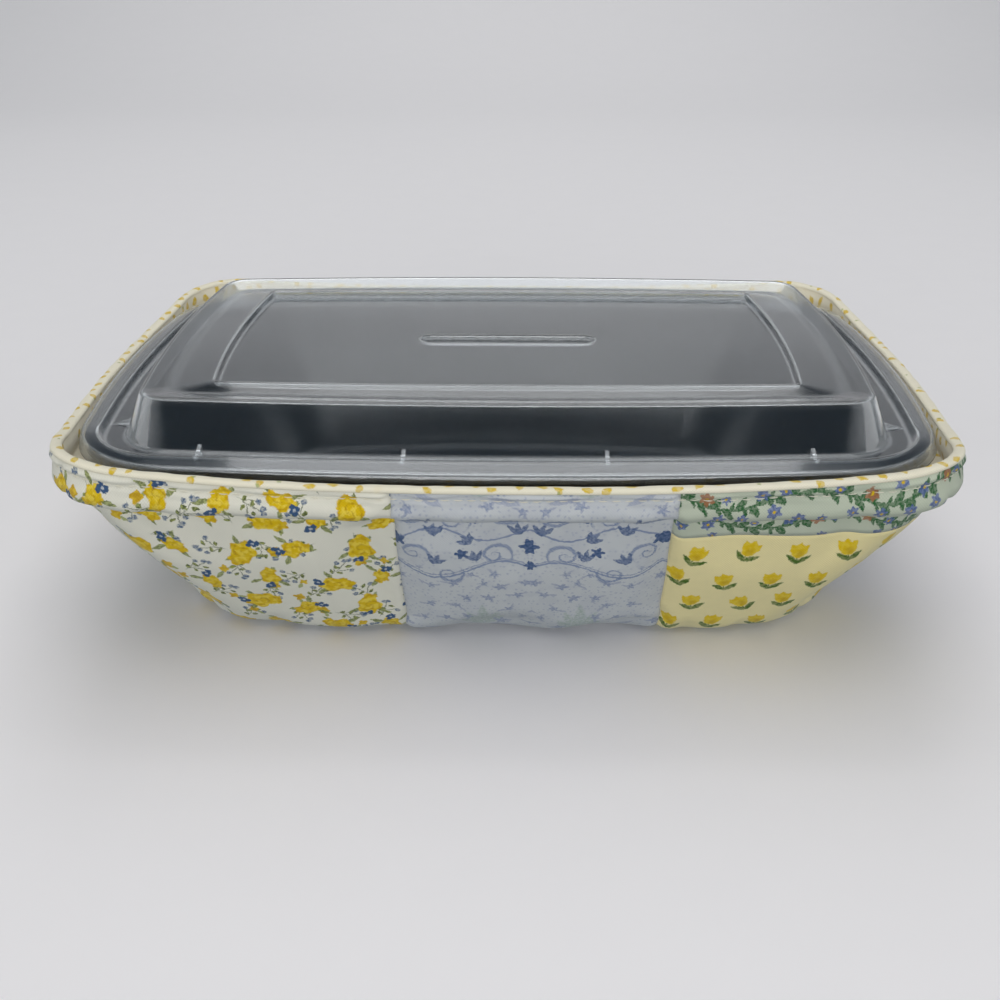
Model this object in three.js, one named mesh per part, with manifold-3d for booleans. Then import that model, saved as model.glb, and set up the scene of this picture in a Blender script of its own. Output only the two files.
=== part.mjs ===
import * as THREE from 'three';
import { mergeVertices } from 'three/addons/utils/BufferGeometryUtils.js';
import Module from 'manifold-3d';

const wasm = await Module();
wasm.setup();

// A padded patchwork cozy with the lidded meal tub that it holds.
// Millimetres, +Z up, X along the long side, front at -Y, origin on the floor under the middle.

// Lid, with every ring of its profile set in from the flange edge
const LID_LENGTH = 224;
const LID_WIDTH = 152;
const LID_CORNER = 32;
const LID_BOW_X = 2.5;
const LID_BOW_Y = 2.9;
const LID_WALL = 0.8;
const SKIRT_DROP = 2;
const BEAD_HEIGHT = 2.6;
const BEAD_OUTER_HEIGHT = 1.4;
const BEAD_EDGE = 1.2;
const BEAD_WIDTH = 6.7;
const BEAD_INNER_CORNER = 20.5;
const CHANNEL_WIDTH = 6.4;
const CHANNEL_CORNER = 14.2;
const DOME_HEIGHT = 11.6;
const DOME_FILLET = 1.2;
const DOME_LEAN_X = 4.5;
const DOME_LEAN_Y = 6.1;
const DOME_CORNER = 8;
const VALLEY_DEPTH = 1.7;
const VALLEY_X = 5.7;
const VALLEY_Y = 8.6;
const VALLEY_CORNER = 6;
const RIDGE_HEIGHT = 11.3;
const RIDGE_X = 11.5;
const RIDGE_Y = 6.2;
const RIDGE_CORNER = 1.6;
const RIDGE_BOW_X = 2.4;
const RIDGE_BOW_Y = 1.6;
const PANEL_DROP = 1.9;
const PANEL_STEP = 0.7;
const SLOT_LENGTH = 49.5;
const SLOT_WIDTH = 6.4;
const SLOT_DEPTH = 1.2;
const GUSSET_THICKNESS = 1;
const GUSSET_HEIGHT = 2.2;
const GUSSET_INNER_X = 24.5;
const GUSSET_OUTER_X = 74.4;
const GUSSET_SIDE_Y = 42;

// Tub
const TUB_LEAN_X = 25;
const TUB_LEAN_Y = 18.5;
const TUB_BASE_CORNER = 30;
const TUB_HEIGHT = 51.8;
const TUB_WALL = 1;
const TUB_ROUND = 6;
const TUB_LIP_DROP = 3;

// Cozy: cloth, padding and the way it stands round the tub
const FABRIC = 0.4;
const BATTING = 0.6;
const LAYER_GAP = 0.25;
const SEAM_GAP = 0.3;
const SEAM_LEFT = -26;
const SEAM_RIGHT = 40;
const MIDDLE_CORNER = 22;
const CREASE_DROP = 13;
const CREASE_CORNER = 11;
const BULGE_DROP = 8;
const BULGE_SHARE = 0.6;
const BAND_DROP = 3.6;
const RIM_CORNER = 23;
const RIM_SLACK_Y = 3;
const RIM_BOW_X = 4;
const RIM_BOW_Y = 1.8;
const RIM_ABOVE_EDGE = 1.1;
const CORNER_RISE = 7;
const CORNER_RISE_POWER = 3;
const BINDING_LEG = 0.7;
const STITCH_DROP = 1.1;
const THREAD = 0.6;

// Clearances between hard pieces, and between the tub and the cloth
const FIT = 0.3;

// Facets
const CORNER_STEPS = 6;
const THREAD_SIDES = 5;
const SLOT_STEPS = 6;

const PAD = 2 * FABRIC + 2 * BATTING + 3 * LAYER_GAP;
const TUB_FLOOR = PAD + FIT;
const TUB_TOP = TUB_FLOOR + TUB_HEIGHT;
const EDGE_HEIGHT = TUB_TOP + 2 * FIT + LID_WALL - BEAD_HEIGHT;

// How far the ends and the long sides of an outline bow out
const LID_BOW = new THREE.Vector2(LID_BOW_X, LID_BOW_Y);
const RIDGE_BOW = new THREE.Vector2(RIDGE_BOW_X, RIDGE_BOW_Y);
const RIM_BOW = new THREE.Vector2(RIM_BOW_X, RIM_BOW_Y);

// One outline of a rounded rectangle whose sides bow out, at a height
function ring(halfX, halfY, corner, bow, z) {
  return { halfX, halfY, corner, bow, z };
}

// Blend of two outlines
function between(low, high, share) {
  const mix = THREE.MathUtils.lerp;
  return ring(
    mix(low.halfX, high.halfX, share),
    mix(low.halfY, high.halfY, share),
    mix(low.corner, high.corner, share),
    low.bow.clone().lerp(high.bow, share),
    mix(low.z, high.z, share),
  );
}

// Same outline moved out in plan and up
function moved(base, out, up) {
  const corner = Math.max(base.corner + out, LID_WALL / 2);
  return ring(base.halfX + out, base.halfY + out, corner, base.bow, base.z + up);
}

// Points of one side, then of the corner that follows it, in the order front, right, back, left
function outline(base) {
  const endX = base.halfX - base.bow.x - base.corner;
  const endY = base.halfY - base.bow.y - base.corner;
  const alongX = [-endX, (SEAM_LEFT - endX) / 2, SEAM_LEFT, (SEAM_LEFT + SEAM_RIGHT) / 2, SEAM_RIGHT,
    (SEAM_RIGHT + endX) / 2, endX];
  const alongY = [-endY, -endY / 2, 0, endY / 2, endY];
  const sideX = (y) => base.halfX - base.bow.x * (y / endY) ** 2;
  const sideY = (x) => base.halfY - base.bow.y * (x / endX) ** 2;
  const front = alongX.map((x) => new THREE.Vector2(x, -sideY(x)));
  const right = alongY.map((y) => new THREE.Vector2(sideX(y), y));
  const back = alongX.map((x) => new THREE.Vector2(x, sideY(x))).reverse();
  const left = alongY.map((y) => new THREE.Vector2(-sideX(y), y)).reverse();
  const bend = (x, y, start) => Array.from({ length: CORNER_STEPS - 1 }, (_, i) => {
    const angle = start + ((i + 1) / CORNER_STEPS) * (Math.PI / 2);
    return new THREE.Vector2(x + base.corner * Math.cos(angle), y + base.corner * Math.sin(angle));
  });
  return [
    ...front, ...bend(endX, -endY, -Math.PI / 2),
    ...right, ...bend(endX, endY, 0),
    ...back, ...bend(-endX, endY, Math.PI / 2),
    ...left, ...bend(-endX, -endY, Math.PI),
  ];
}

// Places along the outline where seams can lie
const FRONT_POINTS = 7;
const SIDE_POINTS = 5;
const BEND_POINTS = CORNER_STEPS - 1;
const HALF_BEND = CORNER_STEPS / 2;
const AROUND = 2 * FRONT_POINTS + 2 * SIDE_POINTS + 4 * BEND_POINTS;
const SEAM_LEFT_INDEX = 2;
const SEAM_RIGHT_INDEX = 4;
const FRONT_END = FRONT_POINTS - 1;
const RIGHT_START = FRONT_POINTS + BEND_POINTS;
const RIGHT_MIDDLE = RIGHT_START + (SIDE_POINTS - 1) / 2;
const BACK_START = RIGHT_START + SIDE_POINTS + BEND_POINTS;
const CORNER_BACK_RIGHT = BACK_START - HALF_BEND;
const BACK_RIGHT_INDEX = BACK_START + FRONT_END - SEAM_RIGHT_INDEX;
const BACK_LEFT_INDEX = BACK_START + FRONT_END - SEAM_LEFT_INDEX;
const LEFT_START = BACK_START + FRONT_POINTS + BEND_POINTS;
const CORNER_BACK_LEFT = LEFT_START - HALF_BEND;
const LEFT_MIDDLE = LEFT_START + (SIDE_POINTS - 1) / 2;
const LEFT_END = LEFT_START + SIDE_POINTS - 1;

function loop(base, rise = 0) {
  return outline(base).map((p) => {
    const cornerness = Math.abs((p.x / base.halfX) * (p.y / base.halfY)) ** CORNER_RISE_POWER;
    return new THREE.Vector3(p.x, p.y, base.z + rise * cornerness);
  });
}

// Geometry helpers
function geometryFrom(points, faces) {
  const geometry = new THREE.BufferGeometry();
  const places = points.flatMap((p) => [p.x, p.y, p.z]);
  geometry.setAttribute('position', new THREE.Float32BufferAttribute(places, 3));
  geometry.setIndex(faces);
  return facingOut(geometry);
}

function facingOut(geometry) {
  const place = geometry.getAttribute('position');
  const index = geometry.getIndex().array;
  const corners = [new THREE.Vector3(), new THREE.Vector3(), new THREE.Vector3()];
  let volume = 0;
  for (let i = 0; i < index.length; i += 3) {
    corners.forEach((corner, k) => corner.fromBufferAttribute(place, index[i + k]));
    volume += corners[0].dot(corners[1].cross(corners[2]));
  }
  if (volume < 0) {
    geometry.setIndex(Array.from(index).reverse());
  }
  return geometry;
}

function band(faces, from, to, count, leaning) {
  for (let i = 0; i < count; i += 1) {
    const j = (i + 1) % count;
    if (leaning) {
      faces.push(from + i, from + j, to + i, from + j, to + j, to + i);
    } else {
      faces.push(from + i, from + j, to + j, from + i, to + j, to + i);
    }
  }
}

// Closed skin that goes out through one set of loops and comes back through another, with a fan at
// each end. Facets lean the same way on both, so that layers which lie close together stay clear.
function skin(going, coming) {
  const loops = [...going, ...coming];
  const count = loops[0].length;
  const points = loops.flat();
  const faces = [];
  for (let k = 0; k + 1 < loops.length; k += 1) {
    band(faces, k * count, (k + 1) * count, count, k >= going.length);
  }
  const cap = (first, flip) => {
    const middle = points.length;
    points.push(new THREE.Vector3(0, 0, points[first].z));
    for (let i = 0; i < count; i += 1) {
      const j = (i + 1) % count;
      faces.push(...(flip ? [first + j, first + i, middle] : [first + i, first + j, middle]));
    }
  };
  cap(0, true);
  cap((loops.length - 1) * count, false);
  return geometryFrom(points, faces);
}

// Closed ring through loops, the last joined to the first
function hoop(loops) {
  const count = loops[0].length;
  const faces = [];
  loops.forEach((_, k) => band(faces, k * count, ((k + 1) % loops.length) * count, count, false));
  return geometryFrom(loops.flat(), faces);
}

// Thin curved panel between two grids of points
function panel(outside, inside) {
  const rows = outside.length;
  const columns = outside[0].length;
  const shift = rows * columns;
  const faces = [];
  const at = (row, column) => row * columns + column;
  for (let r = 0; r + 1 < rows; r += 1) {
    for (let c = 0; c + 1 < columns; c += 1) {
      const quad = [at(r, c), at(r, c + 1), at(r + 1, c + 1), at(r + 1, c)];
      faces.push(quad[0], quad[1], quad[2], quad[0], quad[2], quad[3]);
      faces.push(...[quad[2], quad[1], quad[0], quad[3], quad[2], quad[0]].map((n) => n + shift));
    }
  }
  const edge = (a, b) => faces.push(b, a, a + shift, b, a + shift, b + shift);
  for (let c = 0; c + 1 < columns; c += 1) {
    edge(at(0, c), at(0, c + 1));
    edge(at(rows - 1, c + 1), at(rows - 1, c));
  }
  for (let r = 0; r + 1 < rows; r += 1) {
    edge(at(r + 1, 0), at(r, 0));
    edge(at(r, columns - 1), at(r + 1, columns - 1));
  }
  return geometryFrom([...outside.flat(), ...inside.flat()], faces);
}

function solidOf(geometry) {
  const bare = geometry.clone();
  bare.deleteAttribute('normal');
  bare.deleteAttribute('uv');
  const merged = mergeVertices(bare);
  return new wasm.Manifold(new wasm.Mesh({
    numProp: 3,
    vertProperties: new Float32Array(merged.getAttribute('position').array),
    triVerts: new Uint32Array(merged.getIndex().array),
  }));
}

function geometryOf(solid) {
  const mesh = solid.getMesh();
  const geometry = new THREE.BufferGeometry();
  geometry.setAttribute('position', new THREE.Float32BufferAttribute(mesh.vertProperties, 3));
  geometry.setIndex(Array.from(mesh.triVerts));
  return geometry;
}

function extruded(shape, depth, z) {
  const settings = { depth, bevelEnabled: false, curveSegments: SLOT_STEPS };
  const geometry = new THREE.ExtrudeGeometry(shape, settings);
  geometry.translate(0, 0, z);
  return geometry;
}

// Directions along a profile and across it, to its outer or under side. A profile starts level, and
// the way across is long enough at each bend to keep one thickness on both sides of it.
function directions(profile) {
  const spot = (station) => new THREE.Vector2((station.halfX + station.halfY) / 2, station.z);
  const runs = profile.slice(1).map((station, k) => spot(station).sub(spot(profile[k])).normalize());
  const before = [new THREE.Vector2(1, 0), ...runs];
  const after = [...runs, runs[runs.length - 1]];
  return profile.map((_, k) => {
    const along = before[k].clone().add(after[k]);
    const across = new THREE.Vector2(along.y, -along.x).divideScalar(1 + before[k].dot(after[k]));
    return { along: after[k], across };
  });
}

// Lid: one thin moulding, from the sunken top panel out to the skirt
const LID_HALF_X = LID_LENGTH / 2;
const LID_HALF_Y = LID_WIDTH / 2;

function lidRing(insetX, insetY, corner, bow, height) {
  return ring(LID_HALF_X - insetX, LID_HALF_Y - insetY, corner, bow, EDGE_HEIGHT + height);
}

const CHANNEL_INSET = BEAD_WIDTH + CHANNEL_WIDTH;
const SHOULDER_X = CHANNEL_INSET + DOME_LEAN_X;
const SHOULDER_Y = CHANNEL_INSET + DOME_LEAN_Y;
const PANEL_HEIGHT = EDGE_HEIGHT + RIDGE_HEIGHT - PANEL_DROP;

function lidProfile() {
  const valleyX = SHOULDER_X + VALLEY_X;
  const valleyY = SHOULDER_Y + VALLEY_Y;
  const ridgeX = valleyX + RIDGE_X;
  const ridgeY = valleyY + RIDGE_Y;
  const crestX = SHOULDER_X + DOME_FILLET;
  const crestY = SHOULDER_Y + DOME_FILLET;
  const panelX = ridgeX + PANEL_STEP;
  const panelY = ridgeY + PANEL_STEP;
  return [
    lidRing(panelX, panelY, RIDGE_CORNER, RIDGE_BOW, RIDGE_HEIGHT - PANEL_DROP),
    lidRing(ridgeX, ridgeY, RIDGE_CORNER, RIDGE_BOW, RIDGE_HEIGHT),
    lidRing(valleyX, valleyY, VALLEY_CORNER, LID_BOW, DOME_HEIGHT - VALLEY_DEPTH),
    lidRing(crestX, crestY, DOME_CORNER - DOME_FILLET, LID_BOW, DOME_HEIGHT),
    lidRing(SHOULDER_X, SHOULDER_Y, DOME_CORNER, LID_BOW, DOME_HEIGHT - DOME_FILLET),
    lidRing(CHANNEL_INSET + LID_WALL, CHANNEL_INSET + LID_WALL, CHANNEL_CORNER, LID_BOW, LID_WALL),
    lidRing(CHANNEL_INSET, CHANNEL_INSET, CHANNEL_CORNER, LID_BOW, 0),
    lidRing(BEAD_WIDTH + LID_WALL, BEAD_WIDTH + LID_WALL, BEAD_INNER_CORNER, LID_BOW, 0),
    lidRing(BEAD_WIDTH, BEAD_WIDTH, BEAD_INNER_CORNER, LID_BOW, BEAD_HEIGHT),
    lidRing(BEAD_EDGE, BEAD_EDGE, LID_CORNER - BEAD_EDGE, LID_BOW, BEAD_OUTER_HEIGHT),
    lidRing(0, 0, LID_CORNER, LID_BOW, -SKIRT_DROP),
  ];
}

// Underside of a thin moulding, one wall below its top face
function underside(profile, wall) {
  const turns = directions(profile);
  return profile.map((station, k) => moved(station, turns[k].across.x * wall, turns[k].across.y * wall));
}

function slotShape(grow) {
  const reach = SLOT_LENGTH / 2 - SLOT_WIDTH / 2;
  const radius = SLOT_WIDTH / 2 + grow;
  const shape = new THREE.Shape();
  shape.absarc(reach, 0, radius, -Math.PI / 2, Math.PI / 2, false);
  shape.absarc(-reach, 0, radius, Math.PI / 2, (3 * Math.PI) / 2, false);
  return shape;
}

// Ribs standing across the channel, between the bead and the dome
function gussets() {
  const inset = BEAD_WIDTH + (LID_WALL + CHANNEL_WIDTH) / 2;
  const endX = LID_HALF_X - CHANNEL_INSET - CHANNEL_CORNER - LID_BOW.x;
  const endY = LID_HALF_Y - CHANNEL_INSET - CHANNEL_CORNER - LID_BOW.y;
  const sideRibX = LID_HALF_X - inset - LID_BOW.x * (GUSSET_SIDE_Y / endY) ** 2;
  const height = GUSSET_HEIGHT + LID_WALL / 2;
  const z = EDGE_HEIGHT + GUSSET_HEIGHT - height / 2;
  const ribs = [];
  [-1, 1].forEach((sideY) => {
    [-GUSSET_OUTER_X, -GUSSET_INNER_X, GUSSET_INNER_X, GUSSET_OUTER_X].forEach((x) => {
      const rib = new THREE.BoxGeometry(GUSSET_THICKNESS, CHANNEL_WIDTH, height);
      const y = LID_HALF_Y - inset - LID_BOW.y * (x / endX) ** 2;
      ribs.push(rib.translate(x, sideY * y, z));
    });
    [-1, 1].forEach((sideX) => {
      const rib = new THREE.BoxGeometry(CHANNEL_WIDTH, GUSSET_THICKNESS, height);
      ribs.push(rib.translate(sideX * sideRibX, sideY * GUSSET_SIDE_Y, z));
    });
  });
  return ribs;
}

function lidGeometry() {
  const top = lidProfile();
  const under = underside(top, LID_WALL).reverse();
  let lid = solidOf(skin(top.map((station) => loop(station)), under.map((station) => loop(station))));
  gussets().forEach((rib) => {
    lid = lid.add(solidOf(rib));
  });
  const floor = PANEL_HEIGHT - SLOT_DEPTH;
  const cup = extruded(slotShape(LID_WALL), SLOT_DEPTH + LID_WALL / 2, floor - LID_WALL);
  const groove = extruded(slotShape(0), SLOT_DEPTH + LID_WALL, floor);
  return geometryOf(lid.add(solidOf(cup)).subtract(solidOf(groove)));
}

// Tub: its rim runs inside the lid's bead, and its wall leans in to the base
const TUB_RIM_OUT = BEAD_EDGE + LID_WALL + FIT;
const TUB_RIM_IN = BEAD_WIDTH - LID_WALL - FIT;
const TUB_RIM_SLOPE = BEAD_HEIGHT - BEAD_OUTER_HEIGHT;

function tubRim(inset, z) {
  const share = inset / BEAD_WIDTH;
  const corner = THREE.MathUtils.lerp(LID_CORNER, BEAD_INNER_CORNER, share);
  return ring(LID_HALF_X - inset, LID_HALF_Y - inset, corner, LID_BOW, z);
}

function tubBase(inset, z) {
  const halfX = LID_HALF_X - TUB_LEAN_X - inset;
  const halfY = LID_HALF_Y - TUB_LEAN_Y - inset;
  return ring(halfX, halfY, TUB_BASE_CORNER - inset, LID_BOW, z);
}

// The base turns up into the wall in two steps
const TUB_TURN_IN = TUB_ROUND / 4;
const TUB_TURN_UP = TUB_ROUND / 3;
const TUB_WALL_TOP = tubRim(TUB_RIM_IN - TUB_WALL, TUB_TOP - TUB_WALL);
const TUB_WALL_FOOT = tubBase(0, TUB_FLOOR + TUB_ROUND);

function tubGeometry() {
  const lipIn = TUB_RIM_OUT + TUB_WALL;
  const outside = [
    tubBase(TUB_ROUND, TUB_FLOOR),
    tubBase(TUB_TURN_IN, TUB_FLOOR + TUB_TURN_UP),
    TUB_WALL_FOOT,
    TUB_WALL_TOP,
    tubRim(lipIn, TUB_TOP - TUB_RIM_SLOPE - TUB_WALL),
    tubRim(lipIn, TUB_TOP - TUB_LIP_DROP),
    tubRim(TUB_RIM_OUT, TUB_TOP - TUB_LIP_DROP),
    tubRim(TUB_RIM_OUT, TUB_TOP - TUB_RIM_SLOPE),
  ];
  const inside = [
    tubRim(TUB_RIM_IN, TUB_TOP),
    moved(TUB_WALL_FOOT, -TUB_WALL, 0),
    tubBase(TUB_TURN_IN + TUB_WALL, TUB_FLOOR + TUB_TURN_UP + TUB_WALL / 2),
    tubBase(TUB_ROUND, TUB_FLOOR + TUB_WALL),
  ];
  return skin(outside.map((station) => loop(station)), inside.map((station) => loop(station)));
}

// Cozy: stations of the pocket surface that the tub sits against, from the floor to the rim
function tubAt(z, corner) {
  const share = (z - TUB_WALL_FOOT.z) / (TUB_WALL_TOP.z - TUB_WALL_FOOT.z);
  return { ...moved(between(TUB_WALL_FOOT, TUB_WALL_TOP, share), FIT, 0), corner };
}

// The folded strip along the rim clears the lid's ends by one fit, and stands off its long sides
const RIM_FOLD = LAYER_GAP + FABRIC;

function rimRing(z) {
  const halfX = LID_HALF_X + FIT + RIM_FOLD;
  const halfY = LID_HALF_Y + FIT + RIM_FOLD + RIM_SLACK_Y;
  return ring(halfX, halfY, RIM_CORNER, RIM_BOW, z);
}

const CREASE_HEIGHT = EDGE_HEIGHT - CREASE_DROP;
const MIDDLE_HEIGHT = (TUB_WALL_FOOT.z + CREASE_HEIGHT) / 2;
const CREASE = tubAt(CREASE_HEIGHT, CREASE_CORNER);
const BAND = rimRing(EDGE_HEIGHT - BAND_DROP);
const BULGE = { ...between(CREASE, BAND, BULGE_SHARE), z: EDGE_HEIGHT - BULGE_DROP };
const POCKET = [
  tubBase(TUB_ROUND - FIT, PAD),
  tubBase(TUB_TURN_IN - FIT, PAD + TUB_TURN_UP),
  moved(TUB_WALL_FOOT, FIT, 0),
  tubAt(MIDDLE_HEIGHT, MIDDLE_CORNER),
  CREASE,
  BULGE,
  BAND,
  rimRing(EDGE_HEIGHT + RIM_ABOVE_EDGE - RIM_FOLD),
];
const BASE_STATION = 0;
const CREASE_STATION = POCKET.indexOf(CREASE);
const RIM_STATION = POCKET.length - 1;
const TURNS = directions(POCKET);

// Outline at a station, a depth into the padding, and a lift along the wall
function cozyRing(k, depth, lift = 0) {
  const { along, across } = TURNS[k];
  const out = across.x * depth + along.x * lift;
  const up = across.y * depth + along.y * lift;
  const share = Math.max(0, (POCKET[k].z - CREASE_HEIGHT) / (POCKET[RIM_STATION].z - CREASE_HEIGHT));
  return loop(moved(POCKET[k], out, up), CORNER_RISE * share);
}

// One whole layer of the padded bowl
function bowlLayer(depth, thickness) {
  const inside = POCKET.map((_, k) => cozyRing(k, depth));
  const outside = POCKET.map((_, k) => cozyRing(k, depth + thickness)).reverse();
  return skin(inside, outside);
}

const LINING_DEPTH = 0;
const LINING_BATTING_DEPTH = FABRIC + LAYER_GAP;
const OUTER_BATTING_DEPTH = LINING_BATTING_DEPTH + BATTING + LAYER_GAP;
const PATCH_DEPTH = OUTER_BATTING_DEPTH + BATTING + LAYER_GAP;

// Part of a loop between two places on it, kept half a seam clear of both
function stretch(points, from, to) {
  const count = (to - from + AROUND) % AROUND;
  const run = Array.from({ length: count + 1 }, (_, i) => points[(from + i) % AROUND].clone());
  const ease = (end, next) => end.lerp(next, SEAM_GAP / 2 / end.distanceTo(next));
  ease(run[0], run[1]);
  ease(run[count], run[count - 1]);
  return run;
}

// Patch of the outer cloth between two places round the wall and two stations up it
function wallPatch(from, to, low, high) {
  const clear = (k) => {
    if (k === low) {
      return SEAM_GAP;
    }
    return k === high && high !== RIM_STATION ? -SEAM_GAP : 0;
  };
  const stations = Array.from({ length: high - low + 1 }, (_, i) => low + i);
  const grid = (depth) => stations.map((k) => stretch(cozyRing(k, depth, clear(k)), from, to));
  return panel(grid(PATCH_DEPTH + FABRIC), grid(PATCH_DEPTH));
}

// Flat patch of the outer cloth under the base
function basePatch(from, to, from2, to2) {
  const points = cozyRing(BASE_STATION, PATCH_DEPTH + FABRIC, -SEAM_GAP);
  const far = from2 === undefined ? [] : stretch(points, from2, to2);
  const edge = [...stretch(points, from, to), ...far];
  return extruded(new THREE.Shape(edge.map((p) => new THREE.Vector2(p.x, p.y))), FABRIC, 0);
}

// Strip folded over the raw edges of all the layers
function bindingGeometry() {
  const inner = -LAYER_GAP;
  const outer = PAD + LAYER_GAP;
  const section = [
    [inner - FABRIC, -BINDING_LEG],
    [inner - FABRIC, LAYER_GAP],
    [inner, RIM_FOLD],
    [outer, RIM_FOLD],
    [outer + FABRIC, LAYER_GAP],
    [outer + FABRIC, -BINDING_LEG],
    [outer, -BINDING_LEG],
    [outer, LAYER_GAP],
    [inner, LAYER_GAP],
    [inner, -BINDING_LEG],
  ];
  return hoop(section.map(([depth, lift]) => cozyRing(RIM_STATION, depth, lift)));
}

// Thread of the line sewn round the wall under the binding
function threadGeometry() {
  const depth = PAD + LAYER_GAP + THREAD / 2;
  const lift = -BINDING_LEG - STITCH_DROP;
  return hoop(Array.from({ length: THREAD_SIDES }, (_, i) => {
    const angle = (i / THREAD_SIDES) * 2 * Math.PI;
    const away = (THREAD / 2) * Math.cos(angle);
    return cozyRing(RIM_STATION, depth + away, lift + (THREAD / 2) * Math.sin(angle));
  }));
}

const CLOTH = { roughness: 0.9, metalness: 0 };
const FLORAL = { color: 0xf1e9d2, ...CLOTH };
const SCROLL = { color: 0xbfcbe4, ...CLOTH };
const VINE = { color: 0xdfe6d2, ...CLOTH };
const TULIP = { color: 0xf3ecb4, ...CLOTH };
const LINING_CLOTH = { color: 0xf4f1e4, ...CLOTH };
const WADDING = { color: 0xf5f2ea, roughness: 1, metalness: 0 };
const SEWING_THREAD = { color: 0xf6f4ec, roughness: 0.7, metalness: 0 };
const BLACK_PLASTIC = { color: 0x101214, roughness: 0.25, metalness: 0 };
const CLEAR_PLASTIC = { color: 0xc9ced2, roughness: 0.15, metalness: 0, transparent: true, opacity: 0.35 };

const cozy = new THREE.Group();

function addPiece(group, name, geometry, finish) {
  const mesh = new THREE.Mesh(geometry, new THREE.MeshStandardMaterial(finish));
  mesh.name = name;
  group.add(mesh);
}

const wall = (from, to) => wallPatch(from, to, BASE_STATION, RIM_STATION);
const lower = (from, to) => wallPatch(from, to, BASE_STATION, CREASE_STATION);
const upper = (from, to) => wallPatch(from, to, CREASE_STATION, RIM_STATION);

// The front patches run round the front corners
addPiece(cozy, 'front_floral_patch', wall(LEFT_END, SEAM_LEFT_INDEX), FLORAL);
addPiece(cozy, 'front_scroll_patch', wall(SEAM_LEFT_INDEX, SEAM_RIGHT_INDEX), SCROLL);
addPiece(cozy, 'front_vine_patch', upper(SEAM_RIGHT_INDEX, RIGHT_START), VINE);
addPiece(cozy, 'front_tulip_patch', lower(SEAM_RIGHT_INDEX, RIGHT_START), TULIP);
addPiece(cozy, 'right_front_patch', wall(RIGHT_START, RIGHT_MIDDLE), SCROLL);
addPiece(cozy, 'right_back_patch', wall(RIGHT_MIDDLE, CORNER_BACK_RIGHT), FLORAL);
addPiece(cozy, 'back_right_patch', wall(CORNER_BACK_RIGHT, BACK_RIGHT_INDEX), TULIP);
addPiece(cozy, 'back_middle_patch', wall(BACK_RIGHT_INDEX, BACK_LEFT_INDEX), VINE);
addPiece(cozy, 'back_left_patch', wall(BACK_LEFT_INDEX, CORNER_BACK_LEFT), SCROLL);
addPiece(cozy, 'left_back_patch', wall(CORNER_BACK_LEFT, LEFT_MIDDLE), TULIP);
addPiece(cozy, 'left_front_patch', wall(LEFT_MIDDLE, LEFT_END), VINE);
addPiece(cozy, 'base_left_patch', basePatch(BACK_LEFT_INDEX, SEAM_LEFT_INDEX), TULIP);
addPiece(cozy, 'base_middle_patch',
  basePatch(SEAM_LEFT_INDEX, SEAM_RIGHT_INDEX, BACK_RIGHT_INDEX, BACK_LEFT_INDEX), FLORAL);
addPiece(cozy, 'base_right_patch', basePatch(SEAM_RIGHT_INDEX, BACK_RIGHT_INDEX), SCROLL);
addPiece(cozy, 'outer_batting', bowlLayer(OUTER_BATTING_DEPTH, BATTING), WADDING);
addPiece(cozy, 'lining_batting', bowlLayer(LINING_BATTING_DEPTH, BATTING), WADDING);
addPiece(cozy, 'lining', bowlLayer(LINING_DEPTH, FABRIC), LINING_CLOTH);
addPiece(cozy, 'rim_binding', bindingGeometry(), LINING_CLOTH);
addPiece(cozy, 'rim_topstitch', threadGeometry(), SEWING_THREAD);

const container = new THREE.Group();
addPiece(container, 'tub', tubGeometry(), BLACK_PLASTIC);
addPiece(container, 'lid', lidGeometry(), CLEAR_PLASTIC);

const part = new THREE.Group();
part.add(cozy, container);

export default part;
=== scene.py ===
import math

import bmesh
import bpy
import numpy as np
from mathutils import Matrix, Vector, noise


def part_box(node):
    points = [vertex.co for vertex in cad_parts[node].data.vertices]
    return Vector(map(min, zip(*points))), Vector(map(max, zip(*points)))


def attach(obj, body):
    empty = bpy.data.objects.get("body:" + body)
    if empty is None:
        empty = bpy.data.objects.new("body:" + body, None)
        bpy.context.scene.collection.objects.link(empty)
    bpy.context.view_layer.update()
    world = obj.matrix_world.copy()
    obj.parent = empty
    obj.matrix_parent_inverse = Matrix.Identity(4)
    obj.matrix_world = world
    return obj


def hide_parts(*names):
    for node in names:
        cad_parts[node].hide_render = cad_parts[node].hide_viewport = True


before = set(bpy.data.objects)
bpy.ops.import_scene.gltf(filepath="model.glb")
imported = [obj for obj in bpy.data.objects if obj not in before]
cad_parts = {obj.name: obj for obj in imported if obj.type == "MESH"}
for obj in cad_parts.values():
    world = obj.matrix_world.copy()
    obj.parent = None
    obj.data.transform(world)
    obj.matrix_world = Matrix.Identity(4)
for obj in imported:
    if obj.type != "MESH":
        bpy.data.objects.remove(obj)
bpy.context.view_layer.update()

bl_info = {
    "name": "Patchwork Bowl Cozy",
    "version": (1, 0, 0),
    "blender": (4, 5, 0),
    "location": "View3D > Sidebar > Cozy",
    "description": "Padded patchwork cozy with the lidded meal tub that it holds",
    "category": "Object",
}

# Shapes are worked out in millimetres, and Blender takes metres
MM = 0.001
LID_LOW, LID_HIGH = (np.array(corner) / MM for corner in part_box("lid"))
TUB_LOW, TUB_HIGH = (np.array(corner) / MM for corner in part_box("tub"))

# Heights that the pieces share
SKIRT_DROP = 2.0
FLANGE = LID_LOW[2] + SKIRT_DROP
TUB_FLOOR = TUB_LOW[2]
TUB_RIM = TUB_HIGH[2]
FIT = 0.3
PAD = TUB_FLOOR - FIT

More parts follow.
